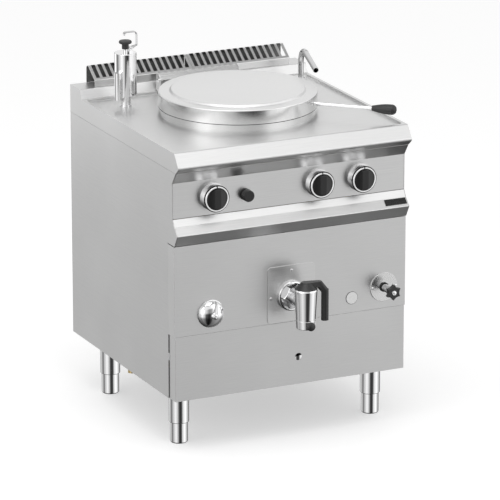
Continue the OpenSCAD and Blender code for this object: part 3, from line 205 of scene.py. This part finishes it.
tree.links.new(shaded.outputs[colour_out], metal_light.inputs["Color"])
plain_light = studio_node("ShaderNodeBackground")
plain_light.inputs["Color"].default_value = (1, 1, 1, 1)
plain_light.inputs["Strength"].default_value = 0.72
white_back = studio_node("ShaderNodeBackground")
white_back.inputs["Color"].default_value = (1, 1, 1, 1)
choose_metal = studio_node("ShaderNodeMixShader")
choose_white = studio_node("ShaderNodeMixShader")
studio_out = studio_node("ShaderNodeOutputWorld")
tree.links.new(seen_metal.outputs[0], choose_metal.inputs[0])
tree.links.new(plain_light.outputs[0], choose_metal.inputs[1])
tree.links.new(metal_light.outputs[0], choose_metal.inputs[2])
tree.links.new(paths.outputs["Is Camera Ray"], choose_white.inputs[0])
tree.links.new(choose_metal.outputs[0], choose_white.inputs[1])
tree.links.new(white_back.outputs[0], choose_white.inputs[2])
tree.links.new(choose_white.outputs[0], studio_out.inputs["Surface"])


def soft_box(name, place, aim, width, depth, watts):
    bpy.ops.object.light_add(type="AREA", location=place)
    lamp = bpy.context.object
    lamp.name = name
    lamp.data.shape = "RECTANGLE"
    lamp.data.size = width
    lamp.data.size_y = depth
    lamp.data.energy = watts
    lamp.rotation_euler = (Vector(aim) - Vector(place)).to_track_quat("-Z", "Y").to_euler()


soft_box("box_above", (-0.6, -0.8, 3.6), (0, 0, 0.6), 2.6, 2.2, 38)
soft_box("box_left", (-3.6, -0.9, 2.3), (0, 0.1, 0.7), 1.6, 2.2, 8)
soft_box("box_beside", (-1.5, 2.3, 0.75), (-0.35, 0.3, 0.6), 1.4, 1.1, 2.5)

# The worktop is one sheet of satin steel, pressed to a shallow basin with a bull nose at
# the front and an upstand behind, welded and ground at the corners, then brushed along X.


def new_material(name, metallic):
    """A material with its nodes, its links, its shader and the places of its points."""
    made = bpy.data.materials.new(name)
    made.use_nodes = True
    nodes = made.node_tree.nodes
    shader = nodes["Principled BSDF"]
    shader.inputs["Metallic"].default_value = metallic
    where = nodes.new("ShaderNodeTexCoord")
    return made, nodes, made.node_tree.links, shader, where.outputs["Object"]


def noise(nodes, links, where, scale, detail):
    """Noise of the given scale and detail at the given places."""
    grit = nodes.new("ShaderNodeTexNoise")
    grit.inputs["Scale"].default_value = scale
    grit.inputs["Detail"].default_value = detail
    links.new(where, grit.inputs["Vector"])
    return grit


def tinted(nodes, links, marks, low, dark, high, light, shader):
    """The shader's colour, dark where the marks are at low and light where they are at high."""
    tint = nodes.new("ShaderNodeValToRGB")
    first, last = tint.color_ramp.elements
    first.position = low
    first.color = (*dark, 1)
    last.position = high
    last.color = (*light, 1)
    links.new(marks, tint.inputs["Fac"])
    links.new(tint.outputs["Color"], shader.inputs["Base Color"])


def glossed(nodes, links, marks, low, high, smooth, rough, shader):
    """The shader's roughness, from smooth to rough as the marks go from low to high."""
    satin = nodes.new("ShaderNodeMapRange")
    satin.inputs["From Min"].default_value = low
    satin.inputs["From Max"].default_value = high
    satin.inputs["To Min"].default_value = smooth
    satin.inputs["To Max"].default_value = rough
    links.new(marks, satin.inputs["Value"])
    links.new(satin.outputs["Result"], shader.inputs["Roughness"])


def embossed(nodes, links, marks, strength, relief, shader):
    """Gives the marks a relief, in metres."""
    skin = nodes.new("ShaderNodeBump")
    skin.inputs["Strength"].default_value = strength
    skin.inputs["Distance"].default_value = relief
    links.new(marks, skin.inputs["Height"])
    links.new(skin.outputs["Normal"], shader.inputs["Normal"])


def brushed_steel(name, tone, grain, rough):
    """Satin steel. grain stretches the brush marks along X, Y and Z."""
    steel, nodes, links, shader, where = new_material(name, 1)
    stretch = nodes.new("ShaderNodeMapping")
    stretch.inputs["Scale"].default_value = grain
    links.new(where, stretch.inputs["Vector"])
    marks = noise(nodes, links, stretch.outputs["Vector"], 1, 4)
    marks.inputs["Roughness"].default_value = 0.65
    cloud = noise(nodes, links, where, 5, 2)
    dark = (tone * 0.94, tone * 0.94, tone * 0.94)
    light = (tone * 1.04, tone * 1.04, tone * 1.035)
    tinted(nodes, links, marks.outputs["Fac"], 0.3, dark, 0.7, light, shader)
    share = nodes.new("ShaderNodeMath")
    share.operation = "MULTIPLY"
    share.inputs[1].default_value = 0.4
    links.new(cloud.outputs["Fac"], share.inputs[0])
    blend = nodes.new("ShaderNodeMath")
    blend.operation = "MULTIPLY_ADD"
    blend.inputs[1].default_value = 0.6
    links.new(marks.outputs["Fac"], blend.inputs[0])
    links.new(share.outputs[0], blend.inputs[2])
    glossed(nodes, links, blend.outputs[0], 0.3, 0.7, rough - 0.05, rough + 0.05, shader)
    embossed(nodes, links, marks.outputs["Fac"], 0.35, 0.00004, shader)
    return steel


steelwork = frame["nodes"]


def dressed(node, material):
    """The CAD node keeps its shape and takes the material."""
    for place in steelwork[node].material_slots:
        place.material = material


def finished(piece, material, body, slot, *nodes):
    """Material and body for a new piece, and the nodes it stands for. The slot is not used."""
    piece.data.materials.clear()
    piece.data.materials.append(material)
    bpy.ops.object.select_all(action="DESELECT")
    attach(piece, body)
    if nodes:
        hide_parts(*nodes)


def chosen(piece):
    """Selects one piece alone and makes it the active one."""
    bpy.ops.object.select_all(action="DESELECT")
    piece.select_set(True)
    bpy.context.view_layer.objects.active = piece


def eased(node, name, material, slot, edge=0.0005):
    """A merged copy of a node with its sharp edges broken, standing in for the node."""
    merged_within = 0.000005
    flat_within = math.radians(0.4)
    sharp_from = math.radians(35)
    smooth_to = math.radians(48)
    body = steelwork[node].parent.name.split(":")[1]
    piece = bpy.data.objects.new(name, steelwork[node].data.copy())
    bpy.context.scene.collection.objects.link(piece)
    chosen(piece)
    bpy.ops.mesh.customdata_custom_splitnormals_clear()
    bpy.ops.object.mode_set(mode="EDIT")
    bpy.ops.mesh.select_all(action="SELECT")
    bpy.ops.mesh.remove_doubles(threshold=merged_within)
    bpy.ops.mesh.dissolve_limited(angle_limit=flat_within)
    bpy.ops.object.mode_set(mode="OBJECT")
    bevel = piece.modifiers.new("eased_edges", "BEVEL")
    bevel.width = edge
    bevel.segments = 2
    bevel.limit_method = "ANGLE"
    bevel.angle_limit = sharp_from
    bpy.ops.object.modifier_apply(modifier="eased_edges")
    bpy.ops.object.shade_smooth_by_angle(angle=smooth_to)
    even = piece.modifiers.new("even_shading", "WEIGHTED_NORMAL")
    even.keep_sharp = True
    even.weight = 80
    bpy.ops.object.modifier_apply(modifier="even_shading")
    finished(piece, material, body, slot, node)
    return piece


worktop_steel = brushed_steel("worktop_steel", 0.72, (14, 900, 900), 0.4)
eased("worktop", "pressed_worktop", worktop_steel, "steel")

# The flue grille is two bent sheets that lie end to end on the upstand and lift off to be
# washed. Each has fifteen punched slots on its slope. Its inward faces take a dark steel that is partly
# soot and partly painted shade, so that the slots look dark.
grille_steel = brushed_steel("grille_steel", 0.74, (14, 900, 900), 0.3)
# The dark steel for the inward faces is partly soot and partly painted shade inside the slots.
grille_soot = brushed_steel("grille_soot", 0.2, (14, 900, 900), 0.6)
for side in ("left", "right"):
    sheet = eased("flue_grille_" + side, "flue_grille_sheet_" + side, grille_steel, "steel", edge=0.0004)
    sheet.data.materials.append(grille_soot)
    low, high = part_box("flue_grille_" + side)
    under = Vector((0, low[1] * 0.45 + high[1] * 0.55, low[2] * 0.55 + high[2] * 0.45))
    for face in sheet.data.polygons:
        inward = under - face.center
        inward.x = 0
        faces_in = face.normal.dot(inward.normalized()) > 0.35
        if faces_in and abs(face.normal.x) < 0.5:
            face.material_index = 1

# The side panels are flat satin sheets screwed to the frame, brushed from front to back.
# The back panel has rows of air slots.
side_steel = brushed_steel("side_steel", 0.66, (900, 14, 900), 0.36)
for side in ("left", "right"):
    eased("side_panel_" + side, "side_sheet_" + side, side_steel, "steel")
back_steel = brushed_steel("back_steel", 0.6, (14, 900, 900), 0.42)
eased("back_panel", "back_sheet", back_steel, "steel", edge=0.0004)

# The control panel is a satin sheet set back under the nose, with its top leaning forward.
# The rail below it is bent from one sheet, rounded at the top, with a lip for a grip.
panel_steel = brushed_steel("panel_steel", 0.68, (14, 900, 900), 0.33)
eased("control_panel", "control_sheet", panel_steel, "steel")
rail_steel = brushed_steel("rail_steel", 0.74, (14, 900, 900), 0.4)
eased("front_rail", "rail_sheet", rail_steel, "steel")


def moulded_plastic(name, tone, rough, grain=900, relief=0.00005):
    """Moulded plastic or rubber with a fine spark grain."""
    plastic, nodes, links, shader, where = new_material(name, 0)
    grit = noise(nodes, links, where, grain, 3).outputs["Fac"]
    dark = (tone * 0.85, tone * 0.85, tone * 0.86)
    light = (tone * 1.15, tone * 1.15, tone * 1.16)
    tinted(nodes, links, grit, 0.3, dark, 0.7, light, shader)
    glossed(nodes, links, grit, 0, 1, rough - 0.06, rough + 0.06, shader)
    embossed(nodes, links, grit, 0.4, relief, shader)
    return plastic


# The bare black plate at the right end of the rail is thin moulded plastic with a smooth
# face. It is glued to the rail's slope.
plate_black = moulded_plastic("plate_black", 0.008, 0.28, 300, 0.00001)
eased("blank_plate", "bare_plate", plate_black, "black", edge=0.0003)

# The two front panels are trays folded from sheet steel, brushed from side to side. They
# hook on to the frame below the rail.
front_steel = brushed_steel("front_steel", 0.66, (14, 900, 900), 0.33)
eased("upper_front_panel", "upper_front_tray", front_steel, "steel", edge=0.0007)
eased("lower_front_panel", "lower_front_tray", front_steel, "steel", edge=0.0007)

# The base frame is a tray of galvanised sheet under the body, folded up at its edges and
# cut out over the burner for air.


def dull_metal(name, tone, patch, rough, scale=40, relief=0.0001, metallic=1):
    """Unpolished metal: cast, galvanised, drawn or heat stained, in two tones."""
    metal, nodes, links, shader, where = new_material(name, metallic)
    blotch = noise(nodes, links, where, scale, 5).outputs["Fac"]
    tinted(nodes, links, blotch, 0.35, tone, 0.65, patch, shader)
    glossed(nodes, links, blotch, 0, 1, rough - 0.1, rough + 0.1, shader)
    embossed(nodes, links, blotch, 0.5, relief, shader)
    return metal


galvanised = dull_metal("galvanised_sheet", (0.42, 0.43, 0.44), (0.55, 0.56, 0.57), 0.45, 60)
dressed("base_frame", galvanised)

# Four tube legs hang from the base frame, each with a round foot that slides out of it to
# level the pan. They are bright drawn tube.


def polished_metal(name, tone, rough):
    """Chrome plate or polished steel with faint hairlines."""
    metal, nodes, links, shader, where = new_material(name, 1)
    haze = noise(nodes, links, where, 30, 4).outputs["Fac"]
    tinted(nodes, links, haze, 0, (tone * 0.97, tone * 0.97, tone * 0.98), 1, (tone, tone, tone), shader)
    glossed(nodes, links, haze, 0.3, 0.7, rough * 0.8, rough * 1.2, shader)
    hairlines = noise(nodes, links, where, 1200, 2)
    embossed(nodes, links, hairlines.outputs["Fac"], 0.1, 0.00001, shader)
    return metal


leg_chrome = polished_metal("leg_tube_bright", 0.8, 0.09)
dressed("leg_tubes", leg_chrome)
for end in ("front_left", "front_right", "rear_left", "rear_right"):
    dressed("foot_" + end, leg_chrome)

# The pan is a deep drawn vessel of stainless steel, its collar rolled over the worktop's
# rim and polished. The steam jacket, its lagging, the chamber and the flue are hidden.
pan_steel = brushed_steel("pan_steel", 0.76, (300, 300, 900), 0.16)
dressed("inner_pan", pan_steel)
jacket_steel = dull_metal("jacket_steel", (0.5, 0.5, 0.5), (0.6, 0.59, 0.57), 0.35, 25)
dressed("steam_jacket", jacket_steel)
wool = dull_metal("mineral_wool", (0.55, 0.5, 0.36), (0.72, 0.67, 0.5), 0.9, 180, 0.002, 0)
dressed("insulation", wool)
# The dark iron of the chamber and burner is partly heat stain and partly painted shade for the inside of
# the body, seen through the sight hole.
hot_iron = dull_metal("hot_iron", (0.1, 0.1, 0.105), (0.2, 0.18, 0.16), 0.6, 35)
for node in ("combustion_chamber", "burner"):
    dressed(node, hot_iron)
# The flue duct's near black iron is partly soot and partly painted shade, so that the grille's slots look
# dark.
sooted_iron = dull_metal("sooted_iron", (0.02, 0.02, 0.02), (0.045, 0.042, 0.04), 0.75, 35)
dressed("flue_duct", sooted_iron)

# A skirt of rolled sheet iron hangs under the chamber, round the burner. It is a dark sheet put there as
# painted shade, so that the floor does not show through the sight hole; like the chamber, its dark iron is
# partly heat stain and partly painted shade.


def turned(name, spot, tilt, rings, steps=96):
    """Turned on a lathe. rings are (radius, distance along the axis) in millimetres.

    The axis points up, or to the front where the tilt is 90.
    """
    radius, reach = rings[0]
    bpy.ops.mesh.primitive_circle_add(vertices=steps, radius=radius / 1000, location=(0, 0, reach / 1000))
    piece = bpy.context.object
    piece.name = name
    bpy.ops.object.transform_apply(location=True)
    bpy.ops.object.mode_set(mode="EDIT")
    bpy.ops.mesh.select_all(action="SELECT")
    for wide, far in rings[1:]:
        step = (0, 0, (far - reach) / 1000)
        bpy.ops.mesh.extrude_region_move(TRANSFORM_OT_translate={"value": step})
        ratio = wide / radius
        bpy.ops.transform.resize(value=(ratio, ratio, 1), center_override=(0, 0, far / 1000))
        radius, reach = wide, far
    bpy.ops.mesh.select_all(action="SELECT")
    bpy.ops.mesh.remove_doubles(threshold=0.00002)
    bpy.ops.mesh.normals_make_consistent(inside=False)
    bpy.ops.object.mode_set(mode="OBJECT")
    bpy.ops.object.shade_smooth_by_angle(angle=math.radians(32))
    piece.rotation_euler = (math.radians(tilt), 0, 0)
    piece.location = spot
    bpy.ops.object.transform_apply(location=True, rotation=True)
    return piece


# The skirt below is painted shade: a dark sheet that hides the floor from the sight hole.
low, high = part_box("combustion_chamber")
chamber_middle = ((low[0] + high[0]) / 2, (low[1] + high[1]) / 2, 0)
skirt_top = low[2] * 1000 - 0.5
skirt_foot = low[2] * 1000 - 112
skirt_r = 245
skirt_wall = 1.5
draught_skirt = turned("draught_skirt", chamber_middle, 0, [
    (skirt_r, skirt_foot), (skirt_r, skirt_top), (skirt_r - skirt_wall, skirt_top),
    (skirt_r - skirt_wall, skirt_foot), (skirt_r, skirt_foot),
])
finished(draught_skirt, hot_iron, "casing", "iron")

# Gas and water run in drawn brass pipe with cast valve blocks behind the control panel. The
# pan's drain is a steel pipe, bent from the pan's floor to the tap.
pipe_brass = dull_metal("pipe_brass", (0.62, 0.46, 0.2), (0.7, 0.54, 0.27), 0.3, 90, 0.00005)
for node in ("gas_pipes", "gas_valve", "water_valves", "water_pipes", "jacket_pipes"):
    dressed(node, pipe_brass)
drain_steel = polished_metal("drain_steel", 0.62, 0.3)
dressed("drain_pipe", drain_steel)

# The lid is a double skin: a spun steel cover with a raised disc and a polished skirt, and
# a flat liner welded inside it.
lid_steel = brushed_steel("lid_steel", 0.8, (500, 500, 60), 0.42)
polished_below = 0.9005
satin_above = 0.9045
polish_share = 0.42
nodes = lid_steel.node_tree.nodes
links = lid_steel.node_tree.links
where = nodes.new("ShaderNodeTexCoord")
lid_place = nodes.new("ShaderNodeSeparateXYZ")
links.new(where.outputs["Object"], lid_place.inputs[0])
polish = nodes.new("ShaderNodeMapRange")
polish.inputs["From Min"].default_value = polished_below
polish.inputs["From Max"].default_value = satin_above
polish.inputs["To Min"].default_value = polish_share
polish.inputs["To Max"].default_value = 1
links.new(lid_place.outputs["Z"], polish.inputs["Value"])
finish = nodes.new("ShaderNodeMath")
finish.operation = "MULTIPLY"
lid_rough = nodes["Principled BSDF"].inputs["Roughness"]
links.new(lid_rough.links[0].from_socket, finish.inputs[0])
links.new(polish.outputs["Result"], finish.inputs[1])
links.new(finish.outputs[0], lid_rough)
dressed("lid_shell", lid_steel)
liner_steel = brushed_steel("liner_steel", 0.72, (500, 500, 60), 0.25)
dressed("lid_liner", liner_steel)

# A black ring sits under the lid's edge, between its skirt and the pan's collar, and rests on the collar
# when the lid is shut. It is a dark sheet put where the gap there is only shade: a painted shadow line.


def radius_of(node):
    """Half of a round node's width, in millimetres."""
    low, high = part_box(node)
    return (high[0] - low[0]) * 500


low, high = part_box("lid_shell")
lid_foot = ((low[0] + high[0]) / 2, (low[1] + high[1]) / 2, low[2])
lid_r = radius_of("lid_shell")
shadow_line_ring = turned("lid_seal", lid_foot, 0, [
    (lid_r - 5.2, -1.9), (lid_r - 0.4, -1.9), (lid_r - 0.1, -1.5), (lid_r - 0.1, -0.1), (lid_r - 5.2, -0.1),
    (lid_r - 5.2, -1.9),
], 128)
# The black of this ring is a painted shadow line under the lid's edge.
seal_rubber = moulded_plastic("seal_rubber", 0.01, 0.6)
finished(shadow_line_ring, seal_rubber, "lid", "black")

# The lid's handle is a bright rod screwed through the skirt with a nut inside, and a black
# moulded grip pressed on its end.
fitting_chrome = polished_metal("fitting_chrome", 0.84, 0.07)
dressed("lid_handle_rod", fitting_chrome)
grip_black = moulded_plastic("grip_black", 0.026, 0.45)
dressed("lid_handle_grip", grip_black)

# The hinge is a channel welded to the lid, which turns on a pin between two cheeks on the
# worktop, with two springs that balance it.
hinge_steel = brushed_steel("hinge_steel", 0.72, (14, 900, 900), 0.25)
eased("hinge_channel", "hinge_cover", hinge_steel, "steel", edge=0.0004)
eased("hinge_bracket", "hinge_cheeks", hinge_steel, "steel", edge=0.0004)
dressed("hinge_pin", fitting_chrome)
spring_wire = dull_metal("spring_wire", (0.22, 0.22, 0.23), (0.32, 0.32, 0.33), 0.35, 120, 0.00003)
dressed("hinge_springs", spring_wire)

# The safety valve stands on the left of the worktop: a chrome body on a tube, a side tube
# for the steam, a black push knob, and a strap lever that lifts the valve by hand.
for node in ("valve_foot", "valve_body", "vent_stem"):
    dressed(node, fitting_chrome)
dressed("vent_knob", grip_black)
strap_steel = polished_metal("strap_steel", 0.55, 0.16)
strap = eased("relief_lever", "relief_strap", strap_steel, "chrome", edge=0.0006)


def picked(piece, wanted):
    """Goes into edit mode with only the wanted corners of a piece selected."""
    chosen(piece)
    bpy.ops.object.mode_set(mode="EDIT")
    bpy.ops.mesh.select_all(action="DESELECT")
    bpy.ops.object.mode_set(mode="OBJECT")
    for corner in piece.data.vertices:
        corner.select = wanted(corner.co)
    bpy.ops.object.mode_set(mode="EDIT")


# The loop of the strap is narrow and stands to the right, with a short free end.
strap_low, strap_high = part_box("relief_lever")
strap_middle = (strap_low[0] + strap_high[0]) / 2
loop_foot = strap_low[2] + 0.009
loop_top = strap_high[2] - 0.012
strap_share = 0.81
strap_shift = 0.0086
strap_cut = 0.008
picked(strap, lambda corner: corner.z > loop_foot)
bpy.ops.transform.resize(value=(strap_share, 1, 1), center_override=(strap_high[0], 0, 0))
bpy.ops.transform.translate(value=(strap_shift, 0, 0))
bpy.ops.object.mode_set(mode="OBJECT")
picked(strap, lambda corner: loop_foot < corner.z < loop_top and corner.x < strap_middle)
bpy.ops.transform.translate(value=(0, 0, strap_cut))
bpy.ops.object.mode_set(mode="OBJECT")
bpy.ops.object.select_all(action="DESELECT")

# The filling spout is one length of bright tube, bent to a swan neck and plated. It swings
# in a chrome nut on the worktop.
dressed("spout_socket", fitting_chrome)
spout_chrome = polished_metal("spout_chrome", 0.6, 0.1)
dressed("spout_tube", spout_chrome)

# The three dials are black moulded knobs in deep chrome bezels, each spun from sheet with a black ring set
# in the groove of its shoulder, which shows dark, and a black index mark above the knob.


def seen_middle(node, depth):
    """The middle of a node as seen from the front, at a depth."""
    low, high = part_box(node)
    return Vector(((low[0] + high[0]) / 2, depth, (low[2] + high[2]) / 2))


def copied(piece, name, shift):
    """One more of a piece, with a mesh of its own, shifted along."""
    chosen(piece)
    bpy.ops.object.duplicate()
    twin = bpy.context.object
    twin.name = name
    twin.location = shift
    bpy.ops.object.transform_apply(location=True)
    return twin


bezel_chrome = polished_metal("bezel_chrome", 0.82, 0.08)
groove_rubber = moulded_plastic("groove_rubber", 0.006, 0.6)
knob_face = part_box("knob_bezels")[0][1]
bezel_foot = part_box("knob_bezels")[1][1]
gas_middle = seen_middle("gas_knob", bezel_foot)
drum = turned("bezel_gas", gas_middle, 90, [
    (30.9, 0), (38, 0), (37.9, 1), (37.2, 3), (37.1, 21.8), (36.6, 22.6), (35.2, 22.6), (35.2, 26.4),
    (34.8, 27.5), (34.2, 28), (31.2, 28), (30.8, 27.6), (30.7, 24), (30.7, 21.5), (30.9, 19.5),
    (30.9, 0),
])
# A black ring fills the bezel's shoulder groove, so that the groove shows dark.
shoulder_ring = turned("bezel_seal_gas", gas_middle, 90, [
    (35.1, 22.5), (36.8, 22.5), (37.5, 23.1), (37.5, 25), (37, 25.7), (35.9, 25.9), (35.1, 25.9),
    (35.1, 22.5),
])
mark_size = (0.003, 0.0014, 0.0066)
mark_height = 0.0319
mark_sunk = 0.0003
mark_spot = (gas_middle.x, knob_face + mark_sunk, gas_middle.z + mark_height)
bpy.ops.mesh.primitive_cube_add(size=1, location=mark_spot)
mark = bpy.context.object
mark.name = "bezel_mark_gas"
mark.scale = mark_size
bpy.ops.object.transform_apply(location=True, rotation=True, scale=True)
rounding = mark.modifiers.new("rounding", "BEVEL")
rounding.width = 0.0003
rounding.segments = 2
bpy.ops.object.modifier_apply(modifier="rounding")
drums = [drum]
black_trim = [shoulder_ring, mark]
for dial in ("hot", "cold"):
    shift = seen_middle(dial + "_water_knob", bezel_foot) - gas_middle
    drums.append(copied(drum, "bezel_" + dial, shift))
    black_trim.append(copied(shoulder_ring, "bezel_seal_" + dial, shift))
    black_trim.append(copied(mark, "bezel_mark_" + dial, shift))
for piece in drums:
    finished(piece, bezel_chrome, "casing", "chrome", "knob_bezels")
for piece in black_trim:
    finished(piece, groove_rubber, "casing", "black")

# Each dial turns on its valve's shaft, with a black skirt that fills the bezel's mouth. The
# igniter is a plain black push button.
dial_black = moulded_plastic("dial_black", 0.011, 0.38)
dial_skirt = turned("dial_skirt_gas", gas_middle, 90, [
    (20, 22), (30.3, 22), (30.3, 26.8), (29.7, 27.5), (20, 28), (20, 22),
])
for dial in ("hot", "cold"):
    shift = seen_middle(dial + "_water_knob", bezel_foot) - gas_middle
    twin = copied(dial_skirt, "dial_skirt_" + dial, shift)
    finished(twin, dial_black, dial + "_water_dial", "black")
finished(dial_skirt, dial_black, "gas_dial", "black")
for node in ("gas_knob", "hot_water_knob", "cold_water_knob", "igniter_button", "igniter_unit"):
    dressed(node, dial_black)

# The drain tap is a cast chrome body on a domed nut and a screwed plate, with a black
# lever above it and a black lock knob at its foot.
plate_steel = brushed_steel("tap_plate_steel", 0.7, (14, 900, 900), 0.34)
eased("tap_plate", "tap_back_plate", plate_steel, "steel")
dressed("tap_nut", fitting_chrome)
dressed("tap_body", fitting_chrome)
lever_black = moulded_plastic("lever_black", 0.024, 0.4)
eased("tap_lever", "tap_lever_moulding", lever_black, "black", edge=0.002)
dressed("tap_lock_knob", lever_black)

# The jacket's filling valve has a deep spun chrome cap on a thin collar, with a tapered wing
# for finger and thumb that runs from its rim to a small round boss at its middle.
panel_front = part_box("upper_front_panel")[0][1]
fill_middle = seen_middle("fill_knob", panel_front)
cap_r = radius_of("fill_knob")
dome_r = cap_r - 1.5
cap_depth = 24
cap_rings = [(0.01, 0.4), (cap_r, 0.4), (cap_r, 2), (cap_r - 1.2, 2.6)]
for step in range(1, 18):
    angle = math.radians(5 * step)
    cap_rings.append((dome_r * math.cos(angle), 3 + (cap_depth - 3) * math.sin(angle)))
cap_rings.append((0.01, cap_depth))
finished(turned("fill_cap", fill_middle, 90, cap_rings), fitting_chrome, "filler", "chrome", "fill_knob")
boss = turned("fill_boss", fill_middle, 90, [
    (0.01, 18), (9, 18), (8.6, 31), (7.6, 34.6), (5.5, 36.4), (2.6, 37), (2, 36.8), (1.9, 34), (0.01, 34),
])
finished(boss, fitting_chrome, "filler", "chrome")
wing_width = 0.01
wing_length = 0.036
wing_depth = 0.036
wing_start = 0.001
wing_turn = 17
bpy.ops.mesh.primitive_cube_add(size=1, location=(0, -wing_depth / 2, wing_start + wing_length / 2))
wing = bpy.context.object
wing.name = "fill_wing"
wing.scale = (wing_width, wing_depth, wing_length)
bpy.ops.object.transform_apply(location=True, scale=True)
picked(wing, lambda corner: corner.z > wing_length / 2)
bpy.ops.transform.resize(value=(0.4, 0.5, 1), center_override=(0, 0, wing_length))
bpy.ops.mesh.select_all(action="SELECT")
bpy.ops.mesh.bevel(offset=0.0014, segments=3)
bpy.ops.object.mode_set(mode="OBJECT")
bpy.ops.object.shade_smooth_by_angle(angle=math.radians(40))
wing.rotation_euler = (0, math.radians(wing_turn), 0)
wing.location = fill_middle
bpy.ops.object.transform_apply(location=True, rotation=True)
finished(wing, strap_steel, "filler", "chrome")

# The level valve is a flange turned on a lathe and held by two dome headed screws, with a
# black ring at the foot of its turned housing, and a black star wheel on the end.


def lathe_steel(name, tone, rough, middle):
    """Steel faced on a lathe, with fine tool marks round its middle."""
    steel = brushed_steel(name, tone, (400, 400, 400), rough)
    nodes = steel.node_tree.nodes
    links = steel.node_tree.links
    where = nodes.new("ShaderNodeTexCoord")
    centred = nodes.new("ShaderNodeMapping")
    centred.inputs["Location"].default_value = (-middle[0], 0, -middle[2])
    centred.inputs["Scale"].default_value = (1, 0, 1)
    links.new(where.outputs["Object"], centred.inputs["Vector"])
    radius = nodes.new("ShaderNodeVectorMath")
    radius.operation = "LENGTH"
    links.new(centred.outputs["Vector"], radius.inputs[0])
    tool_marks = nodes.new("ShaderNodeTexNoise")
    tool_marks.noise_dimensions = "1D"
    tool_marks.inputs["Scale"].default_value = 3500
    tool_marks.inputs["Detail"].default_value = 1
    links.new(radius.outputs["Value"], tool_marks.inputs["W"])
    embossed(nodes, links, tool_marks.outputs["Fac"], 0.6, 0.00006, nodes["Principled BSDF"])
    return steel


level_middle = seen_middle("level_stem", panel_front)
flange_r = radius_of("level_flange")
flange_steel = lathe_steel("flange_steel", 0.72, 0.26, level_middle)
flange = turned("level_disc", level_middle, 90, [
    (6.2, 0.1), (flange_r, 0.1), (flange_r, 2), (flange_r - 0.6, 2.55), (10.6, 2.55), (10.6, 2.3),
    (6.2, 2.3), (6.2, 0.1),
])
finished(flange, flange_steel, "casing", "steel", "level_flange")
housing = turned("level_housing", level_middle, 90, [
    (6.2, 2.4), (10.5, 2.4), (10.5, 12), (10.1, 12.4), (10.1, 13.6), (10.5, 14), (10.5, 47.6), (9.9, 48.6),
    (6.2, 48.6), (6.2, 2.4),
])
housing_steel = polished_metal("housing_steel", 0.5, 0.22)
finished(housing, housing_steel, "casing", "chrome", "level_flange")
foot_ring = turned("level_foot_ring", level_middle, 90, [
    (10.6, 2.6), (12.8, 2.6), (13.4, 3.2), (13.4, 5), (12.8, 5.6), (10.6, 5.6), (10.6, 2.6),
])
finished(foot_ring, groove_rubber, "casing", "black")
screw_out = (flange_r - 5.7) / 1000
screw = turned("level_screw_left", level_middle - Vector((screw_out, 0, 0)), 90, [
    (0.01, 2.4), (3.9, 2.4), (3.9, 2.9), (3.4, 3.9), (2.2, 4.6), (1.6, 4.7), (1.3, 3.8), (0.01, 3.8),
], 32)
finished(copied(screw, "level_screw_right", (2 * screw_out, 0, 0)), fitting_chrome, "casing", "chrome")
finished(screw, fitting_chrome, "casing", "chrome")
dressed("level_stem", fitting_chrome)
stem_end = (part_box("level_handwheel")[0][1] - panel_front) * -1000
stem_r = 6.6
dome_foot = stem_end + 0.4
dome_rings = [(0.01, stem_end - 1), (stem_r, stem_end - 1), (stem_r, dome_foot)]
for step in range(1, 6):
    angle = math.radians(15 * step)
    dome_rings.append((stem_r * math.cos(angle), dome_foot + 2.6 * math.sin(angle)))
dome_rings.append((0.01, dome_foot + 2.6))
finished(turned("stem_dome", level_middle, 90, dome_rings, 48), fitting_chrome, "level_wheel", "chrome")
eased("level_handwheel", "star_wheel", lever_black, "black", edge=0.0018)

# A pressed steel disc, faced on a lathe, plugs the spare hole in the panel. It sits on a thin
# black seal.
plug_middle = seen_middle("plug_disc", panel_front)
plug_r = radius_of("plug_disc")
plug_steel = lathe_steel("plug_steel", 0.82, 0.3, plug_middle)
eased("plug_disc", "spare_hole_plug", plug_steel, "steel")
plug_seal = turned("plug_seal", plug_middle, 90, [
    (plug_r + 0.05, 0.05), (plug_r + 0.9, 0.05), (plug_r + 0.9, 0.8), (plug_r + 0.05, 0.8),
    (plug_r + 0.05, 0.05),
])
finished(plug_seal, groove_rubber, "casing", "black")
